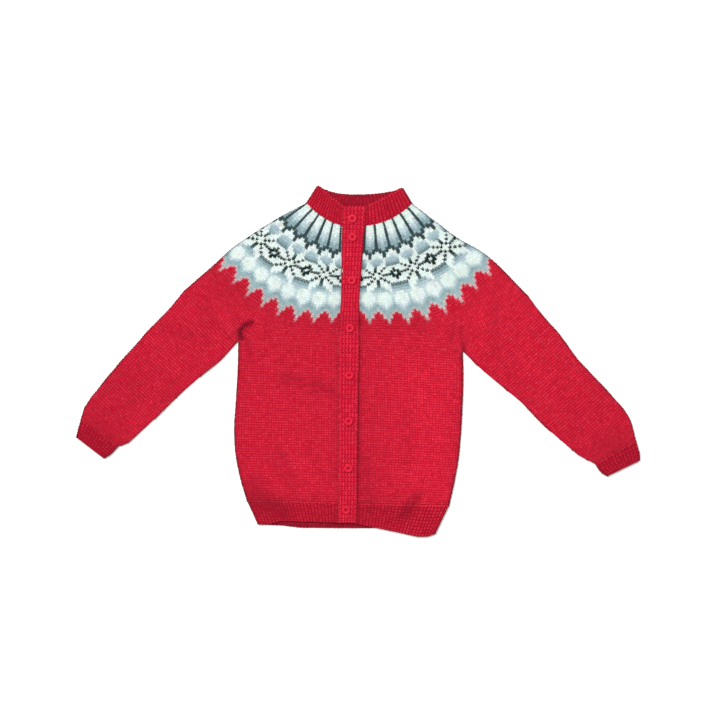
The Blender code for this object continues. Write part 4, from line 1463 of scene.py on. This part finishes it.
def make_over_band(wool):
    """The buttonhole band, knitted sideways, with a chain of loops along each of its edges."""
    top_z = OVER_BAND_TOP - BAND_SINK
    lines = []
    for step in range(BAND_ROWS + 1):
        share = BAND_MARGIN + (1 - 2 * BAND_MARGIN) * step / BAND_ROWS
        lines.append(band_line(share, BAND_TOP_Y, BAND_END_Y, top_z))
    eased_z = OVER_BAND_FLOOR + BAND_EASE
    left, right = (band_line(share, BAND_TOP_Y, BAND_END_Y, eased_z) for share in (0.0, 1.0))
    band = band_shell("buttonhole_band_cloth", [left, *lines, right], OVER_BAND_FLOOR, wool)
    cloth = Cloth([(line, ()) for line in lines])
    ribs = round((BAND_TOP_Y - BAND_END_Y) / BAND_RIB_PITCH)
    rows = []
    for row in range(BAND_ROWS):
        rows.append(stitches_of_row(row, (0.0, float(ribs)), (0.0, 1.0), red, *BAND_STITCH, 0.0))
    free = band_line(1.0, BAND_END_Y, BAND_TOP_Y, OVER_BAND_TOP)
    free[:, 0] -= EDGE_CHAIN[0] / 2 - EDGE_CHAIN_OVERHANG
    seam = band_line(0.0, BAND_END_Y, BAND_TOP_Y, top_z)
    seam[:, 0] += SEAM_CHAIN_INSET
    knitted = [
        knit("buttonhole_band_ribs", cloth, gathered(rows), FRONT_SECTIONS, wool, 71, BAND_LEG_RUN),
        chain("buttonhole_band_chain", free, *EDGE_CHAIN, wool, 72, red, EDGE_LOOP),
        chain("buttonhole_band_seam", seam, *SEAM_CHAIN, wool, 73, red, BODY_ROW),
    ]
    declare(band, "buttonhole_band", knitted)


def deselect_all():
    for obj in bpy.context.view_layer.objects:
        obj.select_set(False)


def in_edit_mode(piece, chosen_faces, *steps):
    """Takes steps in edit mode on the faces that are chosen by their middle and direction."""
    bpy.ops.object.mode_set(mode="EDIT")
    bpy.ops.mesh.select_mode(type="FACE")
    bpy.ops.mesh.select_all(action="DESELECT")
    bpy.ops.object.mode_set(mode="OBJECT")
    for face in piece.data.polygons:
        face.select = chosen_faces(face)
    bpy.ops.object.mode_set(mode="EDIT")
    for step in steps:
        step()
    bpy.ops.object.mode_set(mode="OBJECT")


def finish_hard(piece, material):
    """Smooths a button's piece, puts its place in its mesh and finishes it."""
    bpy.ops.object.shade_smooth()
    bpy.ops.object.transform_apply(location=True, rotation=True, scale=True)
    piece.data.materials.append(material)
    finish(piece)


def make_button(number, x, y, plastic, thread):
    """A moulded button with a rounded rim and a hollow middle, where its thread shows."""
    deselect_all()
    bpy.ops.mesh.primitive_cylinder_add(
        vertices=48, radius=BUTTON_RADIUS, depth=BUTTON_TOP - BUTTON_FLOOR, location=(x, y, BUTTON_FLOOR)
    )
    button = bpy.context.active_object
    button.name = f"moulded_button_{number}"
    bpy.ops.transform.translate(value=(0.0, 0.0, (BUTTON_TOP - BUTTON_FLOOR) / 2))
    in_edit_mode(
        button,
        lambda face: face.normal.z > 0.9,
        lambda: bpy.ops.mesh.inset(thickness=BUTTON_RIM, depth=0.0),
        lambda: bpy.ops.mesh.inset(thickness=HOLLOW_SLOPE, depth=-BUTTON_HOLLOW),
        lambda: bpy.ops.mesh.inset(thickness=DISH_INSET, depth=-DISH_DEPTH),
    )
    bevel = button.modifiers.new("rounded rim", "BEVEL")
    bevel.width = BUTTON_ROUNDING
    bevel.segments = 5
    bevel.limit_method = "ANGLE"
    bevel.angle_limit = math.radians(25)
    bpy.ops.object.modifier_apply(modifier=bevel.name)
    finish_hard(button, plastic)
    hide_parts(f"button_{number}")
    knot_place = (x, y, BUTTON_TOP - KNOT_DEPTH)
    bpy.ops.mesh.primitive_uv_sphere_add(segments=16, ring_count=8, radius=KNOT_RADIUS, location=knot_place)
    knot = bpy.context.active_object
    knot.name = f"button_thread_{number}"
    bpy.ops.transform.resize(value=KNOT_SHAPE, center_override=knot_place)
    finish_hard(knot, thread)


def make_floor():
    """A plain pale floor that the cardigan lies on."""
    bpy.ops.mesh.primitive_plane_add(size=8.0, location=(0.0, 0.0, 0.0))
    floor = bpy.context.active_object
    floor.name = "floor"
    pale = {"Base Color": (0.92, 0.92, 0.92, 1.0), "Roughness": 0.9}
    floor.data.materials.append(new_material("pale floor", pale)[0])
    return floor


def make_lights():
    """A softbox high above the collar, in an evenly white studio."""
    lamp = bpy.data.lights.new("key softbox", "AREA")
    lamp.shape = "SQUARE"
    lamp.size = SOFTBOX_SIZE
    lamp.energy = SOFTBOX_POWER
    softbox = bpy.data.objects.new("key softbox", lamp)
    softbox.location = SOFTBOX_PLACE
    softbox.rotation_euler = Vector(SOFTBOX_PLACE).to_track_quat("Z", "Y").to_euler()
    bpy.context.scene.collection.objects.link(softbox)
    world = bpy.data.worlds.new("studio")
    world.use_nodes = True
    background = world.node_tree.nodes["Background"]
    background.inputs["Color"].default_value = (1.0, 1.0, 1.0, 1.0)
    background.inputs["Strength"].default_value = STUDIO_LIGHT
    bpy.context.scene.world = world
    bpy.context.scene.view_settings.view_transform = "Standard"


def make_camera():
    """Straight above the front, with the photo's framing."""
    lens = bpy.data.cameras.new("camera")
    lens.lens = 85.0
    lens.sensor_width = 36.0
    camera = bpy.data.objects.new("camera", lens)
    camera.location = (*CAMERA_PLACE, FRONT_TOP + FRAME_WIDTH * lens.lens / lens.sensor_width)
    bpy.context.scene.collection.objects.link(camera)
    bpy.context.scene.camera = camera


def main():
    deselect_all()
    group = fibres_group()
    red_wool = wool_material("red wool", group, 0.8)
    yoke_wool = wool_material("yoke wools", group, 0.6)
    floor = make_floor()
    make_body(red_wool)
    make_hem(red_wool)
    make_yoke(yoke_wool)
    make_neckband(red_wool)
    for side, sections, cuff_sections, seed in (
        ("left", SLEEVE_LEFT_SECTIONS, CUFF_LEFT_SECTIONS, 51),
        ("right", SLEEVE_RIGHT_SECTIONS, CUFF_RIGHT_SECTIONS, 61),
    ):
        make_sleeve(side, sections, red_wool, seed)
        make_cuff(side, cuff_sections, red_wool, seed + 2)
    make_under_band(red_wool)
    make_over_band(red_wool)
    plastic, thread = button_material(), thread_material()
    for number, (x, y) in enumerate(BUTTON_CENTRES, start=1):
        make_button(number, x, y, plastic, thread)
    make_lights()
    make_camera()


main()
